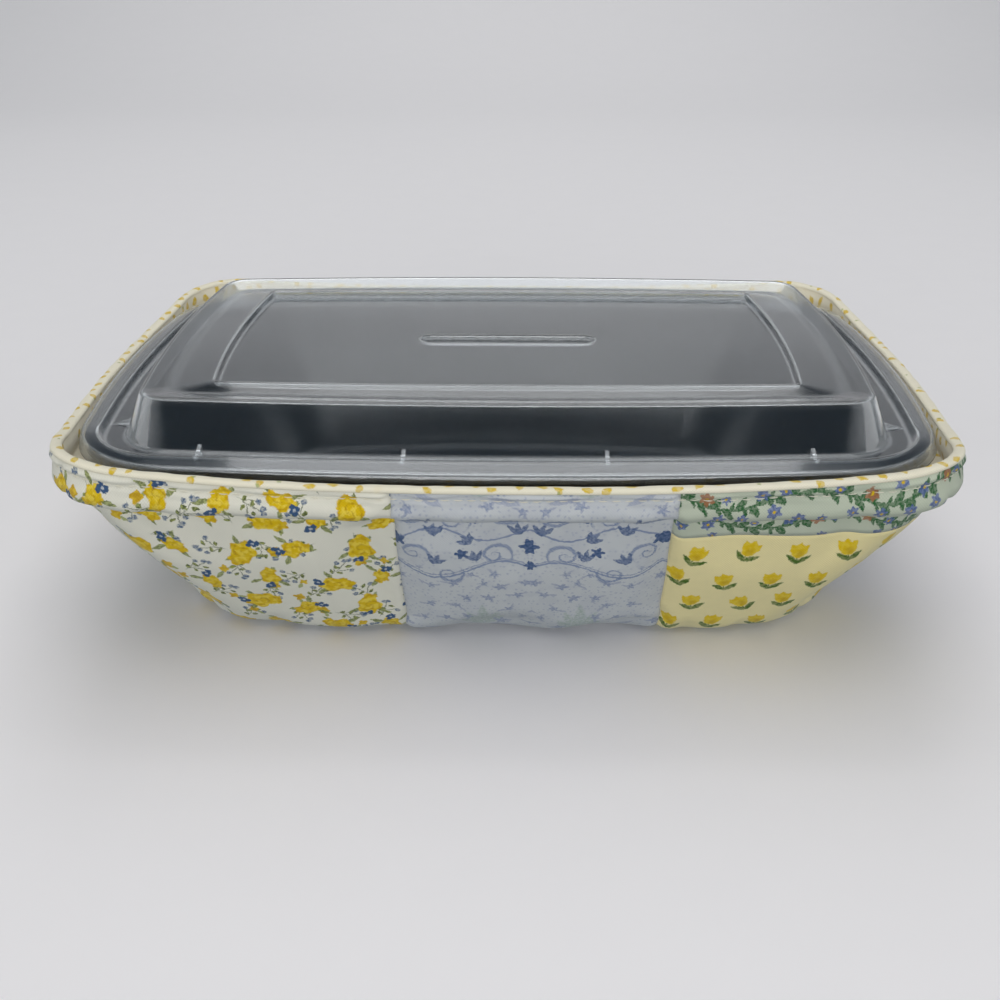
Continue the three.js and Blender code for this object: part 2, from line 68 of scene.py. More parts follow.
# Columns round every outline: front, corner, right, corner, back, corner, left, corner
SEAM_LEFT = -26.0
SEAM_RIGHT = 40.0
FRONT_STEPS = (30, 32, 26)
SIDE_STEPS = (28, 28)
CORNER_STEPS = 20
FRONT_SPAN = sum(FRONT_STEPS)
SIDE_SPAN = sum(SIDE_STEPS)
RIGHT_AT = FRONT_SPAN + CORNER_STEPS
BACK_AT = RIGHT_AT + SIDE_SPAN + CORNER_STEPS
LEFT_AT = BACK_AT + FRONT_SPAN + CORNER_STEPS
AROUND = LEFT_AT + SIDE_SPAN + CORNER_STEPS

# Columns that the upright seams and the corner darts lie on
FRONT_LEFT_SEAM = FRONT_STEPS[0]
FRONT_RIGHT_SEAM = FRONT_LEFT_SEAM + FRONT_STEPS[1]
RIGHT_SEAM = RIGHT_AT + SIDE_STEPS[0]
CORNER_BACK_RIGHT = BACK_AT - CORNER_STEPS // 2
BACK_RIGHT_SEAM = BACK_AT + FRONT_STEPS[2]
BACK_LEFT_SEAM = BACK_RIGHT_SEAM + FRONT_STEPS[1]
CORNER_BACK_LEFT = LEFT_AT - CORNER_STEPS // 2
LEFT_SEAM = LEFT_AT + SIDE_STEPS[0]
FRONT_LEFT_END = LEFT_AT + SIDE_SPAN
PATCH_SEAMS = (FRONT_LEFT_SEAM, FRONT_RIGHT_SEAM, RIGHT_SEAM, BACK_RIGHT_SEAM, BACK_LEFT_SEAM, LEFT_SEAM)
CORNER_SEAMS = (RIGHT_AT, CORNER_BACK_RIGHT, CORNER_BACK_LEFT, FRONT_LEFT_END)
CORNER_DARTS = (FRONT_SPAN + CORNER_STEPS // 2, AROUND - CORNER_STEPS // 2)
SEWN_COLUMNS = PATCH_SEAMS + CORNER_SEAMS + CORNER_DARTS

# Place of the print along the cloth at each patch seam
SIDE_PLACE = 7.0
SEAM_PLACES = dict(zip(PATCH_SEAMS, (SEAM_LEFT, SEAM_RIGHT, SIDE_PLACE, -SEAM_RIGHT, -SEAM_LEFT, SIDE_PLACE)))


def tone(text):
    """Linear colour of a six-figure hexadecimal one."""
    parts = [int(text[i:i + 2], 16) / 255 for i in (0, 2, 4)]
    return tuple(p / 12.92 if p <= 0.04045 else ((p + 0.055) / 1.055) ** 2.4 for p in parts)


def colour(name, description, text):
    return bpy.props.FloatVectorProperty(
        name=name, description=description, default=tone(text), size=3, min=0, max=1, subtype="COLOR")


def length(name, description, default):
    return bpy.props.FloatProperty(
        name=name, description=description, default=default, min=0, unit="LENGTH")


def share(name, description, default):
    return bpy.props.FloatProperty(
        name=name, description=description, default=default, min=0, max=1, subtype="FACTOR")


class CozySizes(bpy.types.PropertyGroup):
    """Sizes of the cloth and the sewing"""
    cloth: length("Cloth", "Thickness of the quilting cotton", 0.0004)
    wadding: length("Wadding", "Thickness of one layer of batting", 0.0006)
    layer_gap: length("Layer gap", "Loft left between two layers", 0.00025)
    seam_sink: length("Seam sink", "How far a sewn seam pulls into the padding", 0.0007)
    crease_sink: length("Crease sink", "How far the crease under the rim band pulls in", 0.0006)
    band_puff: length("Band puff", "How far the lower edge of the rim band stands out", 0.0005)
    band_sink: length("Band sink", "How far the middle of the rim band sinks in", 0.0004)
    rolled_edge: length("Rolled edge", "How far the rolled edge under the binding stands out", 0.0005)
    slack: length("Slack", "Furthest that the slack cloth moves off its shape", 0.0022)
    binding: length("Binding", "Cut width of the binding strip, with the edge that is turned in", 0.012)
    stitch: length("Stitch", "Length of one topstitch", 0.0022)
    stitch_gap: length("Stitch gap", "Gap between two topstitches", 0.0008)
    thread: length("Thread", "Thickness of the sewing thread", 0.0003)
    weave: length("Weave", "Distance between two threads of the cotton", 0.0007)


class CozyColours(bpy.types.PropertyGroup):
    """Colours of the prints"""
    white: colour("White ground", "Ground of the floral print", "e9e5d6")
    gold: colour("Gold", "Petals of the large blossoms", "e0bc0e")
    amber: colour("Amber", "Shade inside the large blossoms", "b5860f")
    leaf: colour("Leaf", "Leaves of the floral print", "98a04a")
    sprig: colour("Sprig", "Thin sprigs of the floral print", "56603a")
    sky: colour("Blue blossom", "Small blossoms of the floral print", "3f5d80")
    mist: colour("Pale blue ground", "Ground of the scroll print", "caccce")
    scroll: colour("Scroll blue", "Scrolls of the scroll print", "7887a8")
    ink: colour("Deep blue", "Dark accents of the scroll print", "38527a")
    plume: colour("Plume", "Soft green leaves of the scroll print", "9fb0a4")
    cream: colour("Cream ground", "Ground of the tulip print", "f3e4ac")
    bud: colour("Bud", "Petals of the tulip print", "e4c014")
    stalk: colour("Stalk", "Leaves of the tulip print", "48691e")
    pale: colour("Pale green ground", "Ground of the vine print", "c2c8b4")
    vine: colour("Vine", "Stems and leaves of the vine print", "2f6136")
    violet: colour("Violet", "Blue blossoms of the vine print", "6a78ad")
    russet: colour("Russet", "Brown blossoms of the vine print", "a06a4a")
    bloom: colour("Bloom", "Scattered blossoms of the scroll print", "a0a6ba")
    straw: colour("Straw", "Light side of the large blossoms", "f0d650")
    lining: colour("Lining ground", "Ground of the lining print", "ebe3cd")
    fleck: colour("Fleck", "Yellow flecks of the lining print", "d6b41c")
    wadding: colour("Wadding", "Batting between the layers", "f2efe6")
    thread: colour("Thread", "Sewing thread", "e6e1d0")


class PlasticLooks(bpy.types.PropertyGroup):
    """Finish of the tub and its lid"""
    # The tub's dark navy is partly the plastic's own black and partly a painted blue cast of reflected light
    black: colour("Tub", "Colour of the tub", "08131d")
    clear: colour("Lid tint", "Tint of the clear lid", "eef1f3")
    clearness: share("Clearness", "Share of light that passes the lid unscattered", 0.995)
    # The milky folds whiten the lid's bends: partly the plastic's own whitening, partly a painted highlight
    milky_folds_and_painted_highlight: share("Milky folds", "Share of light that the lid scatters where it is bent sharply", 0.13)
    lid_gloss: share("Lid roughness", "Roughness of the lid", 0.07)
    tub_gloss: share("Tub roughness", "Roughness of the tub", 0.22)


class StageLooks(bpy.types.PropertyGroup):
    """Floor, light and camera"""
    floor: colour("Floor", "Floor and backdrop", "f1edee")
    lens: bpy.props.FloatProperty(
        name="Lens", description="Focal length", default=41.8, min=10, unit="CAMERA")
    tilt: bpy.props.FloatProperty(
        name="Tilt", description="Camera's angle from looking straight down",
        default=math.radians(63.53), subtype="ANGLE")
    pan: bpy.props.FloatProperty(
        name="Pan", description="Camera's turn to the side", default=0.015, subtype="ANGLE")
    eye: bpy.props.FloatVectorProperty(
        name="Eye", description="Place of the camera", default=(0.00258, -0.31807, 0.16948), size=3,
        subtype="TRANSLATION")


# Outlines. A ring is half length, half width, corner radius, bow of the ends, bow of the long sides
# and height.

TIGHTEST_CORNER = 0.3
GATHERED = 0.6
MOST_OF_STEP = 0.49


def moved(ring, out, up=0.0):
    half_x, half_y, corner, bow_x, bow_y, z = ring
    return (half_x + out, half_y + out, max(corner + out, TIGHTEST_CORNER), bow_x, bow_y, z + up)


def mixed(low, high, part):
    return tuple(a + (b - a) * part for a, b in zip(low, high))


def closed(points):
    return np.concatenate([points, points[:1]])


def run_along(points):
    """Distance of each point from the first, along the line through them."""
    return np.concatenate([[0], np.cumsum(np.linalg.norm(np.diff(points, axis=0), axis=1))])


def nearest(values, value):
    return int(np.argmin(np.abs(values - value)))


def hump(away, width):
    """Smooth rise to one at nought, which falls off over a width to either side."""
    return np.exp(-(away / width) ** 2)


def places(marks, steps):
    """Places along a side, closer together near its marks."""
    runs = []
    for low, high, count in zip(marks, marks[1:], steps):
        part = np.arange(count) / count
        drawn_in = GATHERED / 2 * (1 - np.cos(math.pi * part)) + (1 - GATHERED) * part
        runs.append(low + (high - low) * drawn_in)
    return np.concatenate(runs)


def outline(ring):
    half_x, half_y, corner, bow_x, bow_y, _ = ring
    end_x = half_x - bow_x - corner
    end_y = half_y - bow_y - corner
    x = places((-end_x, SEAM_LEFT, SEAM_RIGHT, end_x), FRONT_STEPS)
    back_x = places((end_x, SEAM_RIGHT, SEAM_LEFT, -end_x), FRONT_STEPS[::-1])
    y = places((-end_y, 0.0, end_y), SIDE_STEPS)

    def long_side(at):
        return half_y - bow_y * (at / end_x) ** 2

    def bend(cx, cy, quarter):
        angle = (quarter + np.arange(CORNER_STEPS) / CORNER_STEPS) * math.pi / 2
        return np.stack([cx + corner * np.cos(angle), cy + corner * np.sin(angle)], 1)

    points = np.concatenate([
        np.stack([x, -long_side(x)], 1), bend(end_x, -end_y, -1),
        np.stack([half_x - bow_x * (y / end_y) ** 2, y], 1), bend(end_x, end_y, 0),
        np.stack([back_x, long_side(back_x)], 1), bend(-end_x, end_y, 1),
        np.stack([bow_x * (y / end_y) ** 2 - half_x, -y], 1), bend(-end_x, -end_y, 2),
    ])
    for _ in range(2):
        points = (np.roll(points, 1, 0) + 2 * points + np.roll(points, -1, 0)) / 4
    return points


def profile_points(rows):
    return np.stack([(rows[:, 0] + rows[:, 1]) / 2, rows[:, 5]], 1)


def eased(stations, reach, rows=7):
    """Profile whose bends are rounded over a reach to either side."""
    stations = np.array(stations, float)
    steps = np.linalg.norm(np.diff(profile_points(stations), axis=0), axis=1)
    made = [stations[0]]
    for k in range(1, len(stations) - 1):
        middle = stations[k]
        start = middle + (stations[k - 1] - middle) * min(reach[k] / steps[k - 1], MOST_OF_STEP)
        stop = middle + (stations[k + 1] - middle) * min(reach[k] / steps[k], MOST_OF_STEP)
        for u in np.linspace(0, 1, rows):
            made.append((1 - u) ** 2 * start + 2 * u * (1 - u) * middle + u * u * stop)
    made.append(stations[-1])
    return np.array(made)


def edged(rows, margin):
    """The same profile with a row close to either end of each long stretch."""
    made = [rows[0]]
    for low, high in zip(rows, rows[1:]):
        reach = math.hypot(high[0] - low[0], high[5] - low[5])
        if reach > 3 * margin:
            made += [low + (high - low) * (margin / reach), high - (high - low) * (margin / reach)]
        made.append(high)
    return np.array(made)


def evenly(rows, count, fine, fine_count):
    """The same profile with its rows evenly apart, and closer together over a fine stretch at its end."""
    run = run_along(profile_points(rows))
    turn = run[-1] - fine
    at = np.concatenate([np.linspace(0, turn, count - fine_count, endpoint=False),
                         np.linspace(turn, run[-1], fine_count)])
    return np.stack([np.interp(at, run, rows[:, k]) for k in range(rows.shape[1])], 1)


def lofted(rings):
    grid = np.empty((len(rings), AROUND, 3))
    for k, ring in enumerate(rings):
        grid[k, :, :2] = outline(ring)
        grid[k, :, 2] = ring[5]
    return grid


def normals(grid):
    """Unit normals of a grid that closes on itself round its columns."""
    across = np.roll(grid, -1, 1) - np.roll(grid, 1, 1)
    up = np.gradient(grid, axis=0)
    made = np.cross(across, up)
    return made / np.maximum(np.linalg.norm(made, axis=2, keepdims=True), 1e-9)


# Meshes

def grid_faces(rows, columns, wrap):
    r, c = np.meshgrid(np.arange(rows - 1), np.arange(columns if wrap else columns - 1), indexing="ij")
    r, c = r.ravel(), c.ravel()
    d = (c + 1) % columns
    faces = np.stack([r * columns + c, r * columns + d, (r + 1) * columns + d, (r + 1) * columns + c], 1)
    corners = (np.stack([c, c + 1, c + 1, c], 1), np.stack([r, r, r + 1, r + 1], 1))
    return faces, corners


def mesh_piece(name, points, faces, uv=None):
    mesh = bpy.data.meshes.new(name)
    mesh.from_pydata((np.asarray(points) * MM).tolist(), [], faces)
    if uv is not None:
        layer = mesh.uv_layers.new(name="cloth")
        layer.data.foreach_set("uv", np.concatenate(uv).astype(np.float32).ravel())
    mesh.polygons.foreach_set("use_smooth", [True] * len(mesh.polygons))
    mesh.validate()
    piece = bpy.data.objects.new(name, mesh)
    bpy.context.scene.collection.objects.link(piece)
    return piece


def shell(name, near, far, spread=None, wrap=True, capped=False):
    """Thin closed piece between two grids, with the far one on the side of the normals.

    The spread gives each point's place on the flat cloth.
    """
    rows, columns = near.shape[:2]
    shift = rows * columns
    faces, (at_s, at_t) = grid_faces(rows, columns, wrap)
    made = faces[:, ::-1].tolist() + (faces + shift).tolist()
    c = np.arange(columns if wrap else columns - 1)
    d = (c + 1) % columns
    last = (rows - 1) * columns
    end = np.stack([last + c, last + c + shift, last + d + shift, last + d], 1)
    edges = [(end, np.stack([c, c, c + 1, c + 1], 1), np.full((len(c), 4), rows - 1))]
    if not capped:
        start = np.stack([c, d, d + shift, c + shift], 1)
        edges.append((start, np.stack([c, c + 1, c + 1, c], 1), np.zeros((len(c), 4), int)))
    if not wrap:
        r = np.arange(rows - 1)
        for column, turn in ((0, -1), (columns - 1, 1)):
            low, high = r * columns + column, (r + 1) * columns + column
            side = np.stack([low, high, high + shift, low + shift], 1)[:, ::turn]
            heights = np.stack([r, r + 1, r + 1, r], 1)[:, ::turn]
            edges.append((side, np.full((len(r), 4), column), heights))
    for edge, _, _ in edges:
        made += edge.tolist()
    if capped:
        made += [list(range(columns)), [n + shift for n in range(columns)][::-1]]
    uv = None
    if spread is not None:
        uv = [spread[at_t[:, ::-1], at_s[:, ::-1]], spread[at_t, at_s]]
        uv += [spread[j, i] for _, i, j in edges]
        uv = [corners.reshape(-1, 2) for corners in uv]
        if capped:
            uv += [near[0, :, :2], far[0, ::-1, :2]]
    return mesh_piece(name, np.concatenate([near.reshape(-1, 3), far.reshape(-1, 3)]), made, uv)


def settle(piece, body, slot, material, *nodes):
    piece.data.materials.append(material)
    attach(piece, body)
    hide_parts(*nodes)
    return piece


# Node sums

class Term:
    """A number in a node tree."""

    def __init__(self, board, socket):
        self.board = board
        self.socket = socket

    def __add__(self, other):
        return self.board.math("ADD", self, other)

    def __sub__(self, other):
        return self.board.math("SUBTRACT", self, other)

    def __rsub__(self, other):
        return self.board.math("SUBTRACT", other, self)

    def __mul__(self, other):
        return self.board.math("MULTIPLY", self, other)

    def __truediv__(self, other):
        return self.board.math("DIVIDE", self, other)

    def __abs__(self):
        return self.board.math("ABSOLUTE", self)


class Board:
    """The node tree of one material."""

    def __init__(self, name):
        self.material = bpy.data.materials.new(name)
        self.material.use_nodes = True
        self.tree = self.material.node_tree
        self.inputs = self.tree.nodes["Principled BSDF"].inputs

    def node(self, kind, inputs=None, **settings):
        made = self.tree.nodes.new(kind)
        for key, value in settings.items():
            setattr(made, key, value)
        for place, value in (inputs or {}).items():
            self.feed(made.inputs[place], value)
        return made

    def feed(self, socket, value):
        if isinstance(value, Term):
            self.tree.links.new(value.socket, socket)
        elif isinstance(value, bpy.types.NodeSocket):
            self.tree.links.new(value, socket)
        elif socket.type == "RGBA":
            socket.default_value = (*value, 1)
        else:
            socket.default_value = value

    def math(self, operation, *values):
        made = self.node("ShaderNodeMath", dict(enumerate(values)), operation=operation)
        return Term(self, made.outputs[0])

    def within(self, amount, edge, soft):
        """One where an amount is under an edge, and nought where it is over it."""
        made = self.node("ShaderNodeMapRange", {0: amount, 1: edge - soft, 2: edge + soft, 3: 1.0, 4: 0.0},
                         interpolation_type="SMOOTHSTEP")
        return Term(self, made.outputs[0])

    def either(self, *masks):
        made = masks[0]
        for mask in masks[1:]:
            made = self.math("MAXIMUM", made, mask)
        return made

    def distance(self, x, y):
        return self.math("SQRT", x * x + y * y)

    def angle(self, x, y):
        return self.math("ARCTAN2", y, x)

    def turned(self, x, y, angle):
        if isinstance(angle, Term):
            c, s = self.math("COSINE", angle), self.math("SINE", angle)
        else:
            c, s = math.cos(angle), math.sin(angle)
        return x * c + y * s, y * c - x * s

    def parts(self, colour_socket):
        split = self.node("ShaderNodeSeparateColor", {0: colour_socket})
        return [Term(self, out) for out in split.outputs]

    def chances(self, x, y, seed):
        """Three numbers from nought to one for each cell."""
        place = self.node("ShaderNodeCombineXYZ", {0: x, 1: y, 2: seed})
        drawn = self.node("ShaderNodeTexWhiteNoise", {0: place.outputs[0]}, noise_dimensions="3D")
        return self.parts(drawn.outputs["Color"])

    def picked(self, chance, part):
        """One in a part of the cells."""
        return self.within(chance, part, 0.01)

    def layers(self, paint, *coats):
        """Colour with coats of other colours laid over it, each through its mask."""
        for over, mask in coats:
            made = self.node("ShaderNodeMix", {0: mask, 6: paint, 7: over}, data_type="RGBA")
            paint = made.outputs[2]
        return paint

    def noise(self, scale, detail, vector):
        made = self.node("ShaderNodeTexNoise", {"Scale": scale, "Detail": detail, "Vector": vector})
        return Term(self, made.outputs[0])

    def grain(self, scale, detail):
        """Noise in the piece's own space."""
        return self.noise(scale, detail, self.node("ShaderNodeTexCoord").outputs["Object"])

    def shaded(self, paint, value):
        """Set the base colour, brighter and darker by a value."""
        made = self.node("ShaderNodeHueSaturation", {"Value": value, "Color": paint})
        self.feed(self.inputs["Base Color"], made.outputs[0])

    def raised(self, height, strength, distance):
        made = self.node("ShaderNodeBump", {"Strength": strength, "Distance": distance, "Height": height})
        self.feed(self.inputs["Normal"], made.outputs[0])


SOFT = 0.14
ANY_WAY = 6.3
CURL_PITCH, CURL_LINE, CURL_EYE = 0.2, 0.13, 0.16


def cells(board, s, t, width, height, seed, jitter, spin=ANY_WAY):
    """Places of a repeat whose rows are dropped by half, each a little off its spot and turned."""
    row = board.math("FLOOR", t / height)
    along = s + row * (width / 2)
    column = board.math("FLOOR", along / width)
    chance = board.chances(column, row, seed)
    x = along - (column + 0.5) * width - (chance[0] - 0.5) * jitter
    y = t - (row + 0.5) * height - (chance[1] - 0.5) * jitter
    x, y = board.turned(x, y, (chance[2] - 0.5) * spin)
    return x, y, chance


def disc(board, x, y, at, radius, soft=SOFT):
    return board.within(board.distance(x - at[0], y - at[1]), radius, soft)


def discs(board, x, y, spots, radius):
    return board.either(*[disc(board, x, y, at, radius) for at in spots])


def leaf(board, x, y, at, size, width, angle, soft=SOFT):
    """Pointed leaf that starts at a place and runs out at an angle."""
    u, v = board.turned(x - at[0], y - at[1], angle)
    middle = (u - size / 2) * (2 / size)
    edge = (1 - middle * middle) * (width / 2)
    return board.within(abs(v) - edge, 0.0, soft)


def leaves(board, x, y, kinds, soft=SOFT):
    """Leaves that are given by their start, length, width and angle."""
    return board.either(*[leaf(board, x, y, *kind, soft) for kind in kinds])


def blossom(board, x, y, radius, petals, depth, soft=SOFT):
    """Rosette with scalloped petals, and the distance from its middle."""
    away = board.distance(x, y)
    wave = board.math("COSINE", board.angle(x, y) * petals)
    edge = (wave * depth + (1 - depth)) * radius
    return board.within(away - edge, 0.0, soft), away


def volute(board, x, y, at, radius, hand):
    """Spiral curl that thins out towards its middle."""
    dx, dy = x - at[0], y - at[1]
    away = board.distance(dx, dy)
    turn = board.angle(dx, dy) * (hand / (2 * math.pi))
    wound = board.math("LOGARITHM", away / radius, math.e) * (1 / (2 * math.pi * CURL_PITCH)) - turn
    on_line = board.within(abs(board.math("FRACT", wound) - 0.5), CURL_LINE, 0.06)
    return on_line * (board.within(away, radius, 0.2) * board.within(radius * CURL_EYE - away, 0.0, 0.15))


def blotch(board, s, t, scale, edge=0.5, soft=0.1):
    """Soft patches, as a loaded brush leaves them."""
    place = board.node("ShaderNodeCombineXYZ", {0: s, 1: t})
    return board.within(board.noise(scale, 3.0, place.outputs[0]), edge, soft)


# Prints, with places and sizes in millimetres and angles in radians

def floral(board, s, t, c):
    """Gold roses, small yellow and blue blossoms and thin sprigs on white."""
    stem_turns = ((0.0, 0.1), (1.6, 0.75), (2.4, -0.6), (3.2, 0.25))
    sprig_leaves = (((-2.4, 0.1), 1.2), ((-1.2, -0.2), -1.1), ((0.4, 0.4), 1.9), ((1.6, 0.2), -0.8))
    tuft_leaves = (((1.5, 1.0), 4.4, 1.4, 0.7), ((-1.5, 1.0), 4.2, 1.2, 2.6), ((0.0, -2.0), 4.4, 1.2, -1.2))
    bud_spots = ((0.9, 2.6), (1.9, -2.3), (3.9, 1.2), (2.9, 2.0))
    berry_spots = ((0.0, 0.0), (1.2, -0.3), (0.5, -1.2), (1.3, -1.7))
    berry, crisp, rounded = 0.72, 0.1, 0.2
    dabs, flicks = blotch(board, s, t, 0.7), blotch(board, s, t, 1.6)

    x, y, _ = cells(board, s, t, 12.0, 10.0, 3.0, 3.0)
    stems = leaves(board, x, y, [((k - 3.6, 0.15 * k), 4.2, 0.26, turn) for k, turn in stem_turns], crisp)
    sprigs = leaves(board, x, y, [(at, 1.8, 0.95, turn) for at, turn in sprig_leaves], crisp)
    buds = discs(board, x, y, bud_spots, berry)
    paint = board.layers(
        c.white, (c.sprig, stems * 0.8), (c.leaf, sprigs * 0.9), (c.sprig, sprigs * flicks),
        (c.sky, buds * (flicks * 0.5 + 0.45)))

    x, y, chance = cells(board, s, t, 8.2, 7.3, 8.0, 3.4)
    small, _ = blossom(board, x, y, chance[0] * 0.8 + 1.1, 4, 0.16)
    shown = board.picked(chance[2], 0.5)
    paint = board.layers(
        paint, (c.leaf, leaf(board, x, y, (0.8, 0.3), 2.8, 1.0, 0.5) * shown * 0.8),
        (c.gold, small * shown * 0.95), (c.amber, small * dabs * shown * 0.6))

    x, y, chance = cells(board, s, t, 14.5, 11.8, 5.0, 4.0)
    tuft = leaves(board, x, y, tuft_leaves)
    radius = chance[0] * 1.8 + 2.5
    large, away = blossom(board, x * 0.86, y * 1.12, radius, 5, 0.12, rounded)
    side, _ = blossom(board, x + radius * 0.9, y - 0.7, radius * 0.6, 4, 0.14, rounded)
    rose = board.either(large, side)
    lit = blotch(board, s, t, 0.6, 0.48, 0.06)
    swirl = board.math("SINE", board.angle(x, y) * 2 + away * 3.1)
    folds = board.within(swirl, -0.6, 0.5) * board.within(away - radius, -0.4, 0.4)
    outer = board.within(0.0 - away, 0.5 - radius, 0.4)
    u, v = x - radius * 0.85, y + 0.6
    berries = discs(board, u, v, berry_spots, berry)
    return board.layers(
        paint, (c.leaf, tuft * 0.8), (c.sprig, tuft * flicks * 0.7), (c.gold, rose),
        (c.straw, rose * lit * 0.8), (c.amber, folds * (dabs * 0.55 + 0.1)),
        (c.amber, rose * outer * dabs * 0.5), (c.sky, berries), (c.ink, berries * flicks * 0.8),
        (c.mist, disc(board, u, v, (0.75, -0.75), 0.34) * 0.8))


def scrolls(board, s, t, c):
    """Mirrored scrollwork over plumes and scattered blossoms, in thin lines on pale blue."""
    repeat, start = 64.0, 10.5
    plumes = [((12.5, 6.0), 15.0 - 3.0 * abs(k), 3.0, math.pi / 2 + 0.34 * k) for k in range(-2, 3)]
    fronds = (((3.0, 4.0), 8.0, 2.4, 0.25), ((21.0, 3.0), 8.0, 2.2, 0.6))
    twigs = (((0.6, 0.0), 3.2, 0.8, 0.3), ((-0.6, 0.0), 2.4, 0.7, 2.5))
    curls = (((8.5, 42.5), 4.6, 1), ((20.0, 35.5), 4.0, -1), ((28.5, 43.0), 4.2, 1),
             ((6.5, 57.0), 4.8, -1), ((18.5, 54.5), 4.4, 1), ((29.0, 57.5), 4.0, -1))
    sweeps = ((37.0, 0.32, 3.2, 0.19, 0.3), (37.9, 0.16, 3.0, 0.19, 0.3),
              (50.0, 0.3, 2.2, 0.24, 2.4), (61.5, 0.3, 1.6, 0.28, 0.0))
    spray_spots = (((13.0, 40.5), 4.4, 0.7), ((24.0, 39.5), 4.2, 1.5), ((14.0, 47.0), 4.0, 0.2),
                   ((23.0, 49.5), 4.2, 0.9), ((2.5, 49.5), 4.4, 0.8), ((12.5, 60.0), 4.0, -0.4),
                   ((23.5, 60.0), 4.0, 0.1))
    rosettes = (((0.0, 45.5), 2.6), ((0.0, 38.8), 1.7), ((16.5, 43.5), 1.9), ((32.0, 47.5), 2.4),
                ((13.0, 55.5), 1.9), ((24.5, 56.0), 2.1), ((0.0, 58.5), 2.4))

    x = board.math("PINGPONG", s - (SEAM_LEFT + SEAM_RIGHT) / 2, (SEAM_RIGHT - SEAM_LEFT) / 2)
    y = board.math("MODULO", t - start + 10 * repeat, repeat)
    flicks = blotch(board, s, t, 1.5)
    hatch = board.math("SINE", (s + t) * 7.0) * 0.22 + 0.74
    u, v, chance = cells(board, x, y, 1.5, 1.4, 12.0, 0.8, 0.0)
    dots = disc(board, u, v, (0.0, 0.0), 0.26, 0.12) * board.picked(chance[2], 0.55)
    wash = blotch(board, x, y, 0.16, 0.48, 0.08)
    paint = board.layers(
        c.mist, (c.bloom, dots * 0.6), (c.bloom, wash * 0.14),
        (c.plume, leaves(board, x, y, plumes, 0.5) * (flicks * 0.55 + 0.2)))

    u, v, chance = cells(board, x, y, 6.4, 5.6, 14.0, 2.8)
    shown = board.picked(chance[2], 0.62) * board.within(y, 38.0, 3.0)
    flower, _ = blossom(board, u, v, chance[0] * 0.6 + 1.1, 5, 0.24)
    scattered = board.either(flower, leaves(board, u, v, twigs))
    paint = board.layers(
        paint, (c.bloom, scattered * shown * hatch), (c.scroll, flower * flicks * shown * 0.6),
        (c.bloom, leaves(board, x, y, fronds) * hatch),
        (c.scroll, board.either(*[volute(board, x, y, *curl) for curl in curls]) * hatch))

    for low, half, sway, pace, turn in sweeps:
        sweep = abs(y - board.math("SINE", x * pace + turn) * sway - low)
        paint = board.layers(paint, (c.scroll, board.within(sweep, half, 0.16) * 0.85))
    fans = [(at, size, 1.35, turn + 0.6 * k) for at, size, turn in spray_spots for k in range(3)]
    sprays = leaves(board, x, y, fans, 0.12)
    paint = board.layers(paint, (c.scroll, sprays * hatch), (c.ink, sprays * (flicks * 0.6 + 0.15)))
    for at, size in rosettes:
        flower, _ = blossom(board, x - at[0], y - at[1], size, 5, 0.24)
        paint = board.layers(paint, (c.scroll, flower), (c.ink, flower * (flicks * 0.5 + 0.45)))
    return paint


def tulips(board, s, t, c):
    """Yellow buds with two leaves each, in half-drop rows on cream."""
    stalk_leaves = (((-0.5, -3.5), 4.7, 1.35, 0.55), ((0.5, -3.5), 4.3, 1.35, 2.5),
                    ((0.0, -3.4), 2.2, 0.5, 1.57))
    petals = [((0.0, -1.4), 4.1, 2.0, math.pi / 2 + k) for k in (-0.55, 0.0, 0.55)]
    start, tall = 4.4, 1.25
    x, y, _ = cells(board, s, t + start, 12.0, 10.6, 2.0, 1.6, 0.9)
    y = y / tall
    dabs = blotch(board, s, t, 0.8)
    cup = board.either(disc(board, x, y, (0.0, 0.2), 1.95, 0.22), leaves(board, x, y, petals))
    shade = board.within(board.distance(x - 0.4, y + 0.6), 0.9, 0.7)
    return board.layers(
        c.cream, (c.stalk, leaves(board, x, y, stalk_leaves) * (dabs * 0.25 + 0.75)), (c.bud, cup),
        (c.straw, cup * dabs * 0.5), (c.amber, shade * 0.45))


def vines(board, s, t, c):
    """Leafy swags with blue and brown blossoms on pale green."""
    height, pace, shift, sway = 15.0, 9.0, 9.3, 2.2
    start, stem = 3.5, 0.42
    swag_leaves = (((-1.2, 0.0), 3.0, 1.5, 0.8), ((0.0, 0.0), 3.2, 1.5, 1.2), ((0.3, 0.0), 2.8, 1.5, -0.8))
    flicks = blotch(board, s, t, 1.5)
    t = t + start
    row = board.math("FLOOR", t / height)
    along = s + row * shift
    y = t - (row + 0.5) * height - board.math("SINE", along * (math.pi / (2 * pace))) * sway
    step = board.math("FLOOR", along / (pace / 3))
    x = along - (step + 0.5) * (pace / 3)
    flip = board.math("MODULO", abs(step), 2.0) * 2 - 1
    swag = board.either(board.within(abs(y), stem, SOFT), leaves(board, x, y * flip, swag_leaves))
    x, y, chance = cells(board, s, t, 6.4, 5.4, 4.0, 2.6)
    flower, away = blossom(board, x, y, chance[0] * 0.9 + 1.1, 6, 0.18)
    blue = board.picked(chance[2], 0.68)
    brown = board.picked(0.88 - chance[2], 0.0)
    return board.layers(
        c.pale, (c.vine, swag * (flicks * 0.3 + 0.7)), (c.violet, flower * blue * 0.8),
        (c.ink, flower * flicks * blue * 0.6), (c.russet, flower * brown * 0.85),
        (c.fleck, board.within(away, 0.35, 0.15) * board.either(blue, brown)))


